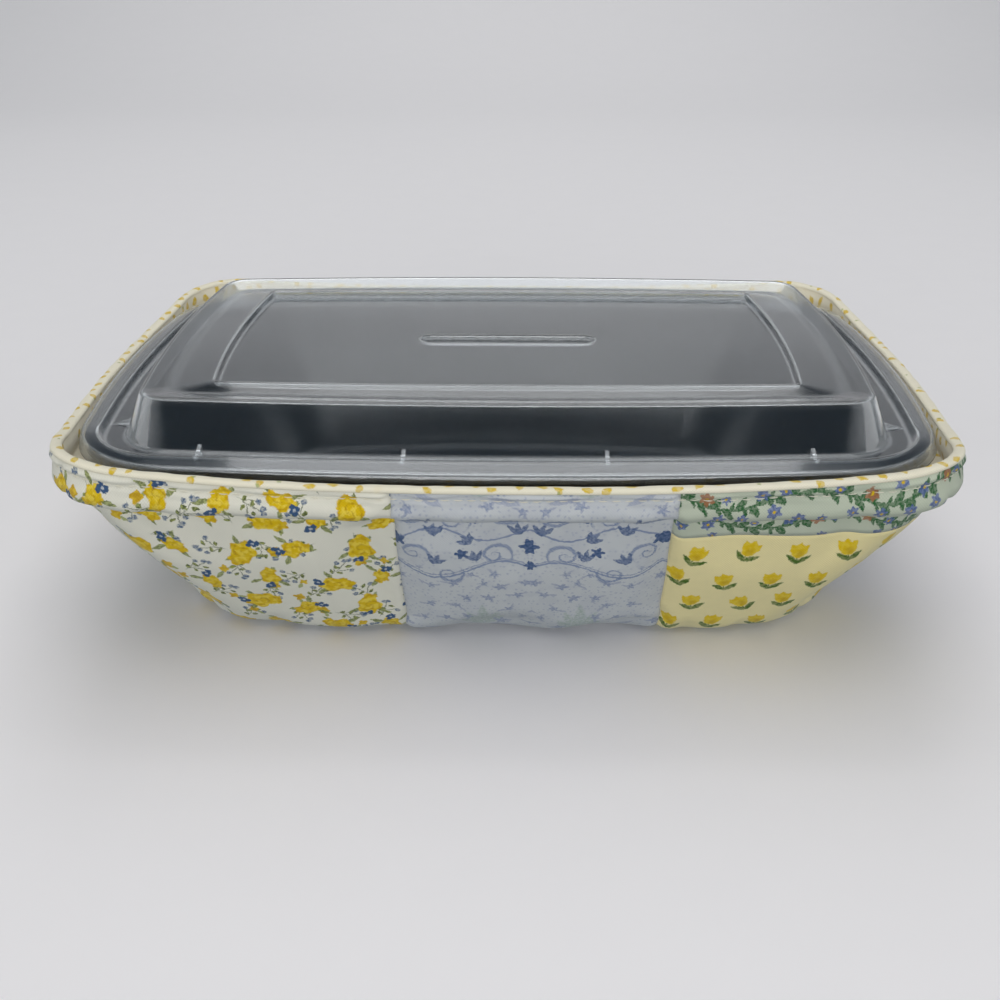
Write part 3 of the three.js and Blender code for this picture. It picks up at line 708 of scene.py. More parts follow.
def flecks(board, s, t, c):
    """Small yellow and green flecks on white."""
    x, y, chance = cells(board, s, t, 5.2, 4.6, 6.0, 2.4)
    dabs = blotch(board, s, t, 0.9)
    fleck = leaf(board, x, y, (-1.5, 0.0), 3.0, 1.8, 0.0, 0.2) * board.picked(chance[2], 0.75)
    speck = disc(board, x, y, (1.0, 0.6), 0.45) * board.picked(chance[0], 0.3)
    return board.layers(c.lining, (c.fleck, fleck * (dabs * 0.3 + 0.65)), (c.leaf, speck * 0.7))


PRINTS = {"floral_cotton": floral, "scroll_cotton": scrolls, "vine_cotton": vines, "tulip_cotton": tulips,
          "lining_cotton": flecks}

# How the dye runs along the threads: scale and detail of the noise, and reach in millimetres
DYE_RUNS = ((0.8, 3.0, 1.1), (2.6, 2.0, 0.7))


def cotton(slot):
    """Printed quilting cotton, with its weave and soft wrinkles."""
    name = f"{slot}_print"
    if name in bpy.data.materials:
        return bpy.data.materials[name]
    board = Board(name)
    place = board.node("ShaderNodeUVMap", uv_map="cloth").outputs[0]
    split = board.node("ShaderNodeSeparateXYZ", {0: place})
    across, upward = Term(board, split.outputs[0]), Term(board, split.outputs[1])
    s, t = across, upward
    for scale, detail, reach in DYE_RUNS:
        drift = board.node("ShaderNodeTexNoise", {"Vector": place, "Scale": scale, "Detail": detail})
        aside = board.parts(drift.outputs["Color"])
        s = s + (aside[0] - 0.5) * reach
        t = t + (aside[1] - 0.5) * reach
    paint = PRINTS[slot](board, s, t, bpy.context.scene.cozy_colours)
    pace = 2 * math.pi / (bpy.context.scene.cozy_sizes.weave / MM)
    weave = board.math("SINE", across * pace) * board.math("SINE", upward * pace)
    cloudy = board.noise(0.35, 3.0, place)
    board.shaded(paint, weave * 0.07 + cloudy * 0.08 + 0.95)
    board.raised(weave * 0.2 + board.noise(0.5, 4.0, place), 0.5, 0.00025)
    board.feed(board.inputs["Roughness"], cloudy * 0.1 + 0.84)
    board.inputs["Sheen Weight"].default_value = 0.15
    board.inputs["Sheen Roughness"].default_value = 0.5
    board.inputs["Specular IOR Level"].default_value = 0.2
    return board.material


def plain_cloth(name, shade, scale):
    """Unprinted fibres, for the wadding and the thread."""
    board = Board(name)
    fibres = board.grain(scale, 5.0)
    board.shaded(shade, fibres * 0.16 + 0.9)
    board.raised(fibres, 0.5, 0.0002)
    board.inputs["Roughness"].default_value = 0.9
    return board.material


def black_plastic():
    """Glossy black polypropylene with a faint moulded unevenness."""
    board = Board("tub_plastic")
    looks = bpy.context.scene.plastic_looks
    grain = board.grain(90.0, 4.0)
    # Base colour: the plastic's black with a painted blue cast of reflected light, varied at random
    board.shaded(looks.black, grain * 0.4 + 0.8)
    board.raised(grain, 0.08, 0.0003)
    board.feed(board.inputs["Roughness"], grain * 0.12 + (looks.tub_gloss - 0.06))
    return board.material


def clear_plastic():
    """Clear polypropylene with a slight haze and a soft pressed surface."""
    board = Board("lid_plastic")
    looks = bpy.context.scene.plastic_looks
    cloud = board.grain(40.0, 3.0)
    board.shaded(looks.clear, cloud * 0.04 + 0.98)
    board.raised(cloud, 0.012, 0.0003)
    board.feed(board.inputs["Roughness"], cloud * 0.06 + (looks.lid_gloss - 0.03))
    # Less light passes at the bends and steep corners, so they show white: partly the plastic's milkiness,
    # partly a painted highlight
    fold = Term(board, board.node("ShaderNodeAttribute", attribute_name="fold").outputs["Fac"])
    board.feed(board.inputs["Transmission Weight"], looks.clearness - fold * looks.milky_folds_and_painted_highlight)
    board.inputs["IOR"].default_value = 1.49
    return board.material


# The lid's profile, set in from its edge, and the tub that fits under it

LID_BOW = (2.5, 2.9)
RIDGE_BOW = (2.4, 1.6)
LID_EDGE = (LID_HIGH[0], LID_HIGH[1])
LID_WALL = 0.8
BEAD_TOP = 2.6
PANEL_TOP = 9.4
LID_EASE = (0, 0.4, 0.5, 1.6, 0.9, 0.9, 0.8, 0.6, 0.7, 0.8, 0)

# The moulded slot, with how far each of its rings stands out and lies below the panel
SLOT_LENGTH, SLOT_WIDTH, SLOT_DEPTH = 49.5, 6.4, 1.2
SLOT_STEPS = (
    (-0.75, SLOT_DEPTH), (-0.45, SLOT_DEPTH), (-0.2, SLOT_DEPTH - 0.12), (-0.1, SLOT_DEPTH - 0.4),
    (0.0, 0.4), (0.12, 0.12), (0.4, 0.0), (0.9, 0.0),
)

# Small ribs across the channel, each kind with its height and haze, the haze partly the plastic's milkiness
# and partly a painted highlight
RIB_INSET, RIB_HALF, RIB_THICK, RIB_FOOT = 10.3, 3.2, 0.5, -0.4
RIB_BOW_X, RIB_BOW_Y = 82.2, 45.8
FRONT_RIBS, FRONT_RIB_HEIGHT, FRONT_RIB_HAZE_AND_HIGHLIGHT = (-74.4, -24.5, 24.5, 74.4), 2.2, 0.25
SIDE_RIB, SIDE_RIB_HEIGHT, SIDE_RIB_HAZE_AND_HIGHLIGHT = 42.0, 1.4, 0.4
RIB_FACES = ((0, 1, 3, 2), (2, 3, 5, 4), (4, 5, 1, 0), (0, 2, 4), (1, 5, 3))

# Where the plastic turns milky, partly its own whitening at bends and partly a painted highlight along them:
# bends in radians, and steep corners
SHARP_FOLD = 0.3
FOLD_EDGE = 0.3
STEEP = 0.9
CORNER_HAZE_AND_HIGHLIGHT = 0.7


def lid_ring(inset_x, inset_y, corner, bow, height):
    return (LID_EDGE[0] - inset_x, LID_EDGE[1] - inset_y, corner, *bow, FLANGE + height)


def lid_profile():
    """Rings from the panel over its ridge, the dome, the channel and the bead to the skirt."""
    stations = [
        lid_ring(39.0, 39.0, 1.6, RIDGE_BOW, PANEL_TOP),
        lid_ring(35.5, 34.7, 1.6, RIDGE_BOW, PANEL_TOP),
        lid_ring(34.8, 34.0, 1.6, RIDGE_BOW, 11.4),
        lid_ring(23.3, 27.8, 6.0, LID_BOW, 9.8),
        lid_ring(18.2, 19.8, 7.4, LID_BOW, 11.8),
        lid_ring(17.4, 19.0, 8.0, LID_BOW, 10.6),
        lid_ring(13.0, 13.0, 14.2, LID_BOW, 0.0),
        lid_ring(7.6, 7.6, 20.4, LID_BOW, 0.0),
        lid_ring(6.6, 6.6, 20.5, LID_BOW, BEAD_TOP),
        lid_ring(1.1, 1.1, 31.0, LID_BOW, 1.5),
        lid_ring(0.0, 0.0, 32.0, LID_BOW, -SKIRT_DROP),
    ]
    return edged(eased(stations, LID_EASE, rows=6), FOLD_EDGE)


def slot_rings():
    """Rings from the floor of the moulded slot out onto the panel."""
    side = np.linspace(-1, 1, FRONT_SPAN, endpoint=False)
    turns = []
    for half in (-90, 90):
        turns.append(np.full(FRONT_SPAN, float(half)))
        for start, stop, count in ((0, 45, CORNER_STEPS), (45, 135, SIDE_SPAN), (135, 180, CORNER_STEPS)):
            turns.append(np.linspace(half + start, half + stop, count, endpoint=False))
    way = np.radians(np.concatenate(turns))
    end = CORNER_STEPS + SIDE_SPAN + CORNER_STEPS
    reach = (SLOT_LENGTH - SLOT_WIDTH) / 2
    axis = reach * np.concatenate([side, np.ones(end), -side, -np.ones(end)])
    made = []
    for grow, drop in SLOT_STEPS:
        away = SLOT_WIDTH / 2 + grow
        height = np.full(AROUND, FLANGE + PANEL_TOP - drop)
        made.append(np.stack([axis + away * np.cos(way), away * np.sin(way), height], 1))
    return np.array(made)


def add_ribs(mesh):
    """Small upright ribs across the channel between the bead and the dome."""
    ribs = []
    for x in FRONT_RIBS:
        y = LID_EDGE[1] - RIB_INSET - LID_BOW[1] * (x / RIB_BOW_X) ** 2
        ribs += [((x, j * y), (0, -j), FRONT_RIB_HEIGHT, FRONT_RIB_HAZE_AND_HIGHLIGHT) for j in (-1, 1)]
    x = LID_EDGE[0] - RIB_INSET - LID_BOW[0] * (SIDE_RIB / RIB_BOW_Y) ** 2
    for i in (-1, 1):
        ribs += [((i * x, j * SIDE_RIB), (-i, 0), SIDE_RIB_HEIGHT, SIDE_RIB_HAZE_AND_HIGHLIGHT) for j in (-1, 1)]
    made = bmesh.new()
    made.from_mesh(mesh)
    fold = made.verts.layers.float["fold"]
    for (x, y), (to_x, to_y), high, haze in ribs:
        corners = []
        for along, z in ((-RIB_HALF, RIB_FOOT), (RIB_HALF, RIB_FOOT), (RIB_HALF, high)):
            for across in (-RIB_THICK, RIB_THICK):
                place = (x + to_x * along - to_y * across, y + to_y * along + to_x * across, FLANGE + z)
                corner = made.verts.new(Vector(place) * MM)
                # Each rib is made milky white all over, partly haze and partly a painted highlight
                corner[fold] = haze
                corners.append(corner)
        for face in RIB_FACES:
            made.faces.new([corners[n] for n in face])
    bmesh.ops.recalc_face_normals(made, faces=made.faces)
    made.to_mesh(mesh)
    made.free()


def milk_and_painted_highlight_marks(grid):
    """How milky the lid is at each point, from nought to one, partly the plastic's whitening and partly a
    painted highlight.
    """
    step = np.diff(grid, axis=0)
    slope = np.arctan2(step[..., 2], np.linalg.norm(step[..., :2], axis=2))
    turn = np.zeros(grid.shape[:2])
    turn[1:-1] = np.abs(np.diff(slope, axis=0))
    swell = np.sin(np.pi * (np.arange(CORNER_STEPS) + 0.5) / CORNER_STEPS)
    corners = np.concatenate([np.zeros(FRONT_SPAN), swell, np.zeros(SIDE_SPAN), swell] * 2)
    steep = np.zeros(grid.shape[:2])
    away = np.abs(grid[1:-1, :, 0]) > SLOT_LENGTH
    steep[1:-1] = (np.abs(slope[1:]) > STEEP) & (np.abs(slope[:-1]) > STEEP) & away
    return np.clip(turn / SHARP_FOLD + CORNER_HAZE_AND_HIGHLIGHT * steep * corners, 0, 1)


class COZY_OT_lid(bpy.types.Operator):
    """Mould the clear lid with its bead, channel, dome, ridge, sunken panel, slot and ribs"""
    bl_idname = "cozy.lid"
    bl_label = "Lid"

    def execute(self, context):
        grid = np.concatenate([slot_rings(), lofted(lid_profile())])
        below = grid + normals(grid) * LID_WALL
        piece = shell("clear_lid", grid, below, capped=True)
        # Milky marks at the bends and steep corners, partly the plastic's whitening and partly a painted
        # highlight
        marks = piece.data.attributes.new("fold", "FLOAT", "POINT")
        marks.data.foreach_set("value", np.tile(milk_and_painted_highlight_marks(grid).ravel(), 2).astype(np.float32))
        add_ribs(piece.data)
        piece.visible_shadow = False
        settle(piece, "cover", "clear_plastic", clear_plastic(), "lid")
        return {"FINISHED"}


TUB_FOOT = (87.0, 57.5, 30.0)
TUB_WALL = 1.0
TUB_EASE = (0, 3.0, 2.0, 3.0, 0.6, 0.7, 0)


def tub_ring(inset, corner, drop):
    return (LID_EDGE[0] - inset, LID_EDGE[1] - inset, corner, *LID_BOW, TUB_RIM - drop)


class COZY_OT_tub(bpy.types.Operator):
    """Mould the black tub with its rolled rim"""
    bl_idname = "cozy.tub"
    bl_label = "Tub"

    def execute(self, context):
        base = (*TUB_FOOT, *LID_BOW, TUB_FLOOR)
        stations = [
            moved(base, -16.0, TUB_WALL), moved(base, -6.0, TUB_WALL),
            moved(base, -2.5, 2.5), moved(base, -1.0, 6.0),
            tub_ring(5.6, 22.4, 0.0), tub_ring(2.4, 28.0, 1.2), tub_ring(2.4, 28.0, 3.0),
        ]
        grid = lofted(eased(stations, TUB_EASE))
        piece = shell("black_tub", grid, grid + normals(grid) * TUB_WALL, capped=True)
        settle(piece, "container", "black_plastic", black_plastic(), "tub")
        return {"FINISHED"}


# The padded bowl. The rim band overhangs a crease, and the wall leans in below it to the base.

CREASE = FLANGE - 7.0
FOLD_TIP = FLANGE - 6.2
RIM = FLANGE + 0.45
BAND_DROP, BAND_IN, TIP_OUT = 3.6, 0.5, 0.8
CREASE_CORNER, CREASE_LOOSE = 15.0, 3.6
WALL_CORNER, WALL_LOOSE = 21.0, 3.0
FOOT_RISE = 6.0
BASE_INSET = 10.0
BASE_TUCK = 2.6
BOWL_EASE = (0, 2.4, 2.0, 4.0, 8.0, 1.8, 0.5, 1.6, 0)
WALL_ROWS = 80
FINE_ROWS = 24
FINE_STRETCH = 7.5

# The rim stands higher in the corners, from a little below the crease on
CORNER_RISE = 7.0
LIFT_DROP = 13.8


def bowl_profile():
    """Rings of the pocket that the tub sits in, from the base to the rim."""
    base = (TUB_FOOT[0] - 4.0, TUB_FOOT[1] - 5.4, 20.0, *LID_BOW, PAD)
    foot = (TUB_FOOT[0] + 2.3, TUB_FOOT[1] + 0.9, 25.0, *LID_BOW, TUB_FLOOR + FOOT_RISE)
    top = (LID_EDGE[0] - 4.6 + FIT, LID_EDGE[1] - 4.6 + FIT, 24.4, *LID_BOW, TUB_RIM - 1.0)
    rim = (LID_EDGE[0] + 0.95, LID_EDGE[1] + 3.95, 23.0, 4.0, 1.8, RIM)

    def wall(z, corner, loose):
        half_x, half_y, _, *rest = moved(mixed(foot, top, (z - foot[5]) / (top[5] - foot[5])), loose)
        return (half_x, half_y, corner, *rest)

    stations = [
        moved(base, -BASE_INSET), base, moved(base, 4.5, 2.0), foot,
        wall((foot[5] + CREASE) / 2, WALL_CORNER, WALL_LOOSE), wall(CREASE, CREASE_CORNER, CREASE_LOOSE),
        moved(rim, TIP_OUT, FOLD_TIP - RIM), moved(rim, -BAND_IN, -BAND_DROP), rim,
    ]
    return evenly(eased(stations, BOWL_EASE, rows=9), WALL_ROWS, FINE_STRETCH, FINE_ROWS)


def corner_lift(grid, ring_sizes):
    """The same grid, raised towards the rim in the corners."""
    low = CREASE - LIFT_DROP
    reach = np.clip((grid[:, :, 2] - low) / (RIM - low), 0, 1)
    across = np.abs(grid[:, :, 0] * grid[:, :, 1]) / (ring_sizes[:, :1] * ring_sizes[:, 1:2])
    lifted = grid.copy()
    lifted[:, :, 2] += CORNER_RISE * reach ** 2 * across ** 3
    return lifted


# The slack cloth: its grid, and how firmly it is held at its free places, its seams and the rim band
HANG_FRAMES = 40
HANG_STEP = 2.2
HANG_COLUMNS = 4
HELD_FREE, HELD_SEAM, HELD_BAND = 0.03, 0.35, 0.6
HELD_BELOW_CREASE = 4.8


def hung_cloth(rest, held):
    """Let a cloth tube that is a little too large hang from the places where it is held."""
    scene = bpy.context.scene
    rows, columns = rest.shape[:2]
    faces, _ = grid_faces(rows, columns, True)
    piece = mesh_piece("slack_cloth", rest.reshape(-1, 3), faces.tolist())
    group = piece.vertex_groups.new(name="held")
    for index, weight in enumerate(held.ravel()):
        group.add([index], float(weight), "REPLACE")
    cloth = piece.modifiers.new("cloth", "CLOTH")
    cloth.settings.quality = 8
    cloth.settings.mass = 0.15
    cloth.settings.tension_stiffness = 12
    cloth.settings.compression_stiffness = 12
    cloth.settings.shear_stiffness = 4
    cloth.settings.bending_stiffness = 0.05
    cloth.settings.shrink_min = -0.035
    cloth.settings.vertex_group_mass = group.name
    cloth.settings.pin_stiffness = 1.0
    cloth.collision_settings.use_collision = False
    cloth.point_cache.frame_start = 1
    cloth.point_cache.frame_end = HANG_FRAMES
    for frame_number in range(1, HANG_FRAMES + 1):
        scene.frame_set(frame_number)
    hung = piece.evaluated_get(bpy.context.evaluated_depsgraph_get()).data
    places_after = np.empty(rows * columns * 3)
    hung.vertices.foreach_get("co", places_after)
    scene.frame_set(1)
    mesh = piece.data
    bpy.data.objects.remove(piece)
    bpy.data.meshes.remove(mesh)
    return places_after.reshape(rows, columns, 3) / MM


# The layers are pressed together at the rim and in the fold, and the outer cloth is rolled in under
# the binding. Rises are measured up from the fold's tip, drops down from the rim.
RIM_PINCH, PINCH_REACH = 0.34, 5.0
FOLD_PINCH, FOLD_REACH = 0.5, 2.0
MOST_SINK = 0.72
SEAM_WIDTH = 1.3
CREASE_RISE, CREASE_WIDTH = 0.8, 1.6
CREST_RISE, CREST_WIDTH = 0.7, 1.0
BAND_RISE, BAND_WIDTH = 3.1, 1.2
ROLL_DROP, STITCH_DROP, ROLL_WIDTH = 1.3, 2.6, 0.7
VINE_SEAM_DROP = 6.8


class Bowl:
    """Shape of the padded wall, worked out once and shared by its layers."""

    def __init__(self, sizes):
        rings = bowl_profile()
        self.pocket = corner_lift(lofted(rings), rings)
        self.out = normals(self.pocket)
        self.heights = rings[:, 5]
        self.t = run_along(self.pocket[:, FRONT_LEFT_SEAM])
        rim = self.pocket[-1]
        run = run_along(closed(rim))
        self.s = run - np.interp(0.0, rim[:FRONT_SPAN, 0], run[:FRONT_SPAN])
        self.girth = run[-1]
        self.turn_row = nearest(self.t, BASE_INSET)
        self.base_row = nearest(self.t, BASE_INSET - BASE_TUCK)
        self.seam_row = nearest(self.heights, CREASE - VINE_SEAM_DROP)
        self.tip = self.t[nearest(self.heights, FOLD_TIP)]
        nearness = np.clip(1 - (self.t[-1] - self.t) / PINCH_REACH, 0, 1)
        pressed = 1 - FOLD_PINCH * hump(self.t - self.tip, FOLD_REACH)
        self.pinch = (pressed * (1 - RIM_PINCH * nearness ** 2 * (3 - 2 * nearness)))[:, None]
        self.sunk = self.sewing(sizes)
        self.slack = np.zeros_like(self.pocket)
        self.slack = self.slackened(sizes)

    def sewing(self, sizes):
        """How far each point is pulled in by seams and creases, or stands out at the roll and the band."""
        sink = np.zeros((WALL_ROWS, AROUND))
        for column in SEWN_COLUMNS:
            gap = np.abs((self.s[:-1] - self.s[column] + self.girth / 2) % self.girth - self.girth / 2)
            sink -= sizes.seam_sink / MM * hump(gap, SEAM_WIDTH)
        crease = self.t[nearest(self.heights, CREASE)]
        below = self.t[-1] - self.t
        for size, away, width in (
            (-sizes.crease_sink, self.t - crease - CREASE_RISE, CREASE_WIDTH),
            (sizes.band_puff, self.t - self.tip - CREST_RISE, CREST_WIDTH),
            (-sizes.band_sink, self.t - self.tip - BAND_RISE, BAND_WIDTH),
            (sizes.rolled_edge, below - ROLL_DROP, ROLL_WIDTH),
            (-sizes.crease_sink, below - STITCH_DROP, ROLL_WIDTH),
        ):
            sink += size / MM * hump(away, width)[:, None]
        return np.maximum(sink, -MOST_SINK * self.pinch)

    def layer(self, depth, weight):
        """Surface at a depth in the padding, which moves with the outer cloth by a weight."""
        stand_out = depth * self.pinch + weight * self.sunk
        return self.pocket + self.out * stand_out[..., None] + weight * self.slack

    def slackened(self, sizes):
        """How the slack outer cloth hangs and wrinkles between its seams, from a cloth simulation."""
        steps = np.arange(self.t[self.turn_row], self.t[-1], HANG_STEP)
        rows = np.unique(np.append(np.searchsorted(self.t, steps), WALL_ROWS - 1))
        columns = np.arange(0, AROUND, HANG_COLUMNS)
        rest = self.layer(PAD, 1.0)[rows][:, columns]
        held = np.full(rest.shape[:2], HELD_FREE)
        for column in SEWN_COLUMNS:
            held[:, np.abs(columns - column) <= HANG_COLUMNS // 2] = HELD_SEAM
        held[self.heights[rows] > CREASE - HELD_BELOW_CREASE] = HELD_BAND
        held[[0, -1]] = 1.0
        moved_by = hung_cloth(rest, held) - rest
        size = np.linalg.norm(moved_by, axis=2, keepdims=True)
        moved_by *= np.minimum(1, sizes.slack / MM / np.maximum(size, 1e-6))
        around = np.concatenate([moved_by, moved_by[:, :1]], 1)
        finer = np.empty((len(rows), AROUND, 3))
        made = np.zeros_like(self.pocket)
        for k in range(3):
            for r in range(len(rows)):
                finer[r, :, k] = np.interp(np.arange(AROUND), np.append(columns, AROUND), around[r, :, k])
            for c in range(AROUND):
                made[:, c, k] = np.interp(self.t, self.t[rows], finer[:, c, k], left=0.0)
        for _ in range(3):
            made = (np.roll(made, 1, 1) + 2 * made + np.roll(made, -1, 1)) / 4
            made[1:-1] = (made[:-2] + 2 * made[1:-1] + made[2:]) / 4
        inward = (made * self.out).sum(2) + self.sunk
        return made + self.out * np.maximum(-MOST_SINK * self.pinch - inward, 0)[..., None]

    def spread(self, grid, heights, columns):
        """Places on the flat cloth of a patch, measured from the upright seam at one end of it."""
        steps = np.linalg.norm(np.diff(grid, axis=1), axis=2)
        run = np.concatenate([np.zeros((len(grid), 1)), np.cumsum(steps, axis=1)], 1)
        held = 0 if columns[0] % AROUND in PATCH_SEAMS else -1
        places_along = run - run[:, held:][:, :1] + SEAM_PLACES[columns[held] % AROUND]
        return np.stack([places_along, np.broadcast_to(heights[:, None], run.shape)], 2)


BOWL = []


def bowl(context):
    if not BOWL:
        BOWL.append(Bowl(context.scene.cozy_sizes))
    return BOWL[0]


def depths(sizes):
    """Depth of the near face of each layer from the pocket."""
    cloth, wadding, gap = sizes.cloth / MM, sizes.wadding / MM, sizes.layer_gap / MM
    lining_batting = cloth + gap
    outer_batting = lining_batting + wadding + gap
    return {"lining_batting": lining_batting, "outer_batting": outer_batting,
            "patch": outer_batting + wadding + gap}


def grid_area(grid):
    """Area of an open grid in square metres."""
    first = grid[1:, 1:] - grid[:-1, :-1]
    second = grid[1:, :-1] - grid[:-1, 1:]
    return float(np.linalg.norm(np.cross(first, second), axis=2).sum() / 2) * MM * MM


WALL_PATCHES = (
    ("front_floral", "floral_cotton", FRONT_LEFT_END, FRONT_LEFT_SEAM, "base", "rim"),
    ("front_scroll", "scroll_cotton", FRONT_LEFT_SEAM, FRONT_RIGHT_SEAM, "base", "rim"),
    ("front_vine", "vine_cotton", FRONT_RIGHT_SEAM, RIGHT_AT, "crease", "rim"),
    ("front_tulip", "tulip_cotton", FRONT_RIGHT_SEAM, RIGHT_AT, "base", "crease"),
    ("right_front", "scroll_cotton", RIGHT_AT, RIGHT_SEAM, "base", "rim"),
    ("right_back", "floral_cotton", RIGHT_SEAM, CORNER_BACK_RIGHT, "base", "rim"),
    ("back_right", "tulip_cotton", CORNER_BACK_RIGHT, BACK_RIGHT_SEAM, "base", "rim"),
    ("back_middle", "vine_cotton", BACK_RIGHT_SEAM, BACK_LEFT_SEAM, "base", "rim"),
    ("back_left", "scroll_cotton", BACK_LEFT_SEAM, CORNER_BACK_LEFT, "base", "rim"),
    ("left_back", "tulip_cotton", CORNER_BACK_LEFT, LEFT_SEAM, "base", "rim"),
    ("left_front", "vine_cotton", LEFT_SEAM, FRONT_LEFT_END, "base", "rim"),
)


class COZY_OT_wall_patches(bpy.types.Operator):
    """Sew the printed patches of the outer wall"""
    bl_idname = "cozy.wall_patches"
    bl_label = "Wall patches"

    def execute(self, context):
        sizes = context.scene.cozy_sizes
        shape = bowl(context)
        depth = depths(sizes)["patch"]
        inside = shape.layer(depth, 1.0)
        outside = shape.layer(depth + sizes.cloth / MM, 1.0)
        rows = {"base": shape.base_row, "crease": shape.seam_row, "rim": WALL_ROWS - 1}
        rise = np.linalg.norm(np.diff(outside, axis=0), axis=2).mean(1)
        heights = np.concatenate([[0], np.cumsum(rise)])
        for name, slot, first, last, low, high in WALL_PATCHES:
            columns = np.arange(first, first + (last - first) % AROUND + 1)
            span = slice(rows[low], rows[high] + 1)
            near = inside[span][:, columns % AROUND]
            far = outside[span][:, columns % AROUND]
            spread = shape.spread(far, heights[span], columns)
            piece = shell(f"{name}_cloth", near, far, spread, wrap=False)
            settle(piece, "cozy", slot, cotton(slot), f"{name}_patch")
            area = grid_area(far)
        return {"FINISHED"}


BASE_PATCHES = (
    ("base_left", "tulip_cotton", None, SEAM_LEFT),
    ("base_middle", "floral_cotton", SEAM_LEFT, SEAM_RIGHT),
    ("base_right", "scroll_cotton", SEAM_RIGHT, None),
)
BASE_ROWS, BASE_COLUMNS = 60, 40
BASE_SEAM_GAP, BASE_END_GAP = 0.15, 0.2


class COZY_OT_base_patches(bpy.types.Operator):
    """Sew the printed patches under the base"""
    bl_idname = "cozy.base_patches"
    bl_label = "Base patches"

    def execute(self, context):
        shape = bowl(context)
        edge = shape.layer(PAD, 1.0)[shape.base_row][:, :2]
        edge = edge[np.argsort(edge[:, 0])]
        front, back = edge[edge[:, 1] < 0], edge[edge[:, 1] > 0]
        part = np.linspace(0, 1, BASE_ROWS)[:, None]
        for name, slot, low, high in BASE_PATCHES:
            low = edge[0, 0] + BASE_END_GAP if low is None else low + BASE_SEAM_GAP
            high = edge[-1, 0] - BASE_END_GAP if high is None else high - BASE_SEAM_GAP
            x = np.linspace(low, high, BASE_COLUMNS)
            near_y = np.interp(x, front[:, 0], front[:, 1])
            far_y = np.interp(x, back[:, 0], back[:, 1])
            under = np.zeros((BASE_ROWS, BASE_COLUMNS, 3))
            under[:, :, 0] = x
            under[:, :, 1] = near_y + (far_y - near_y) * part
            over = under.copy()
            over[:, :, 2] = context.scene.cozy_sizes.cloth / MM
            piece = shell(f"{name}_cloth", under, over, over[..., :2], wrap=False)
            settle(piece, "cozy", slot, cotton(slot), f"{name}_patch")
            (high - low) * MM
            grid_area(over)
        return {"FINISHED"}


# How far each layer of batting moves with the outer cloth
BATTING_WEIGHTS = {"lining_batting": 1 / 3, "outer_batting": 2 / 3}


class COZY_OT_batting(bpy.types.Operator):
    """Lay the two layers of batting between the cloths"""
    bl_idname = "cozy.batting"
    bl_label = "Batting"

    def execute(self, context):
        sizes = context.scene.cozy_sizes
        shape = bowl(context)
        material = plain_cloth("wadding_fibre", context.scene.cozy_colours.wadding, 900.0)
        for name, weight in BATTING_WEIGHTS.items():
            depth = depths(sizes)[name]
            near = shape.layer(depth, weight)
            far = shape.layer(depth + sizes.wadding / MM, weight)
            piece = shell(f"{name}_layer", near, far, capped=True)
            settle(piece, "cozy", "batting", material, name)
        return {"FINISHED"}


class COZY_OT_lining(bpy.types.Operator):
    """Sew the printed lining of the bowl"""
    bl_idname = "cozy.lining"
    bl_label = "Lining"

    def execute(self, context):
        shape = bowl(context)
        near = shape.layer(0.0, 0.0)
        far = shape.layer(context.scene.cozy_sizes.cloth / MM, 0.0)
        spread = np.stack(np.meshgrid(shape.s, shape.t), 2)
        piece = shell("lining_cloth", near, far, spread, capped=True)
        settle(piece, "cozy", "lining_cotton", cotton("lining_cotton"), "lining")
        base = near[0, :, :2]
        following = np.roll(base, -1, 0)
        middle = abs(float(np.dot(base[:, 0], following[:, 1]) - np.dot(base[:, 1], following[:, 0]))) / 2
        area = grid_area(np.concatenate([near, near[:, :1]], 1)) + middle * MM * MM
        return {"FINISHED"}


# Section of the binding, out from the pocket and up from the rim: over its outside, then back inside
BINDING_SECTION = (
    (-0.46, -0.7), (-0.5, -0.3), (-0.46, 0.02), (-0.3, 0.3), (0.0, 0.5), (0.4, 0.6), (0.9, 0.63),
    (1.4, 0.6), (1.8, 0.5), (2.1, 0.32), (2.28, 0.06), (2.34, -0.2), (2.3, -0.45), (2.16, -0.6),
    (1.96, -0.55), (1.96, -0.1), (1.7, 0.14), (0.3, 0.2), (-0.12, 0.02), (-0.16, -0.7),
)
BINDING_LAST = 13
BINDING_MIDDLE = 0.9
PUCKER_PACE, PUCKER_SIZE, PUCKER_INSIDE = 0.22, 0.16, 0.2


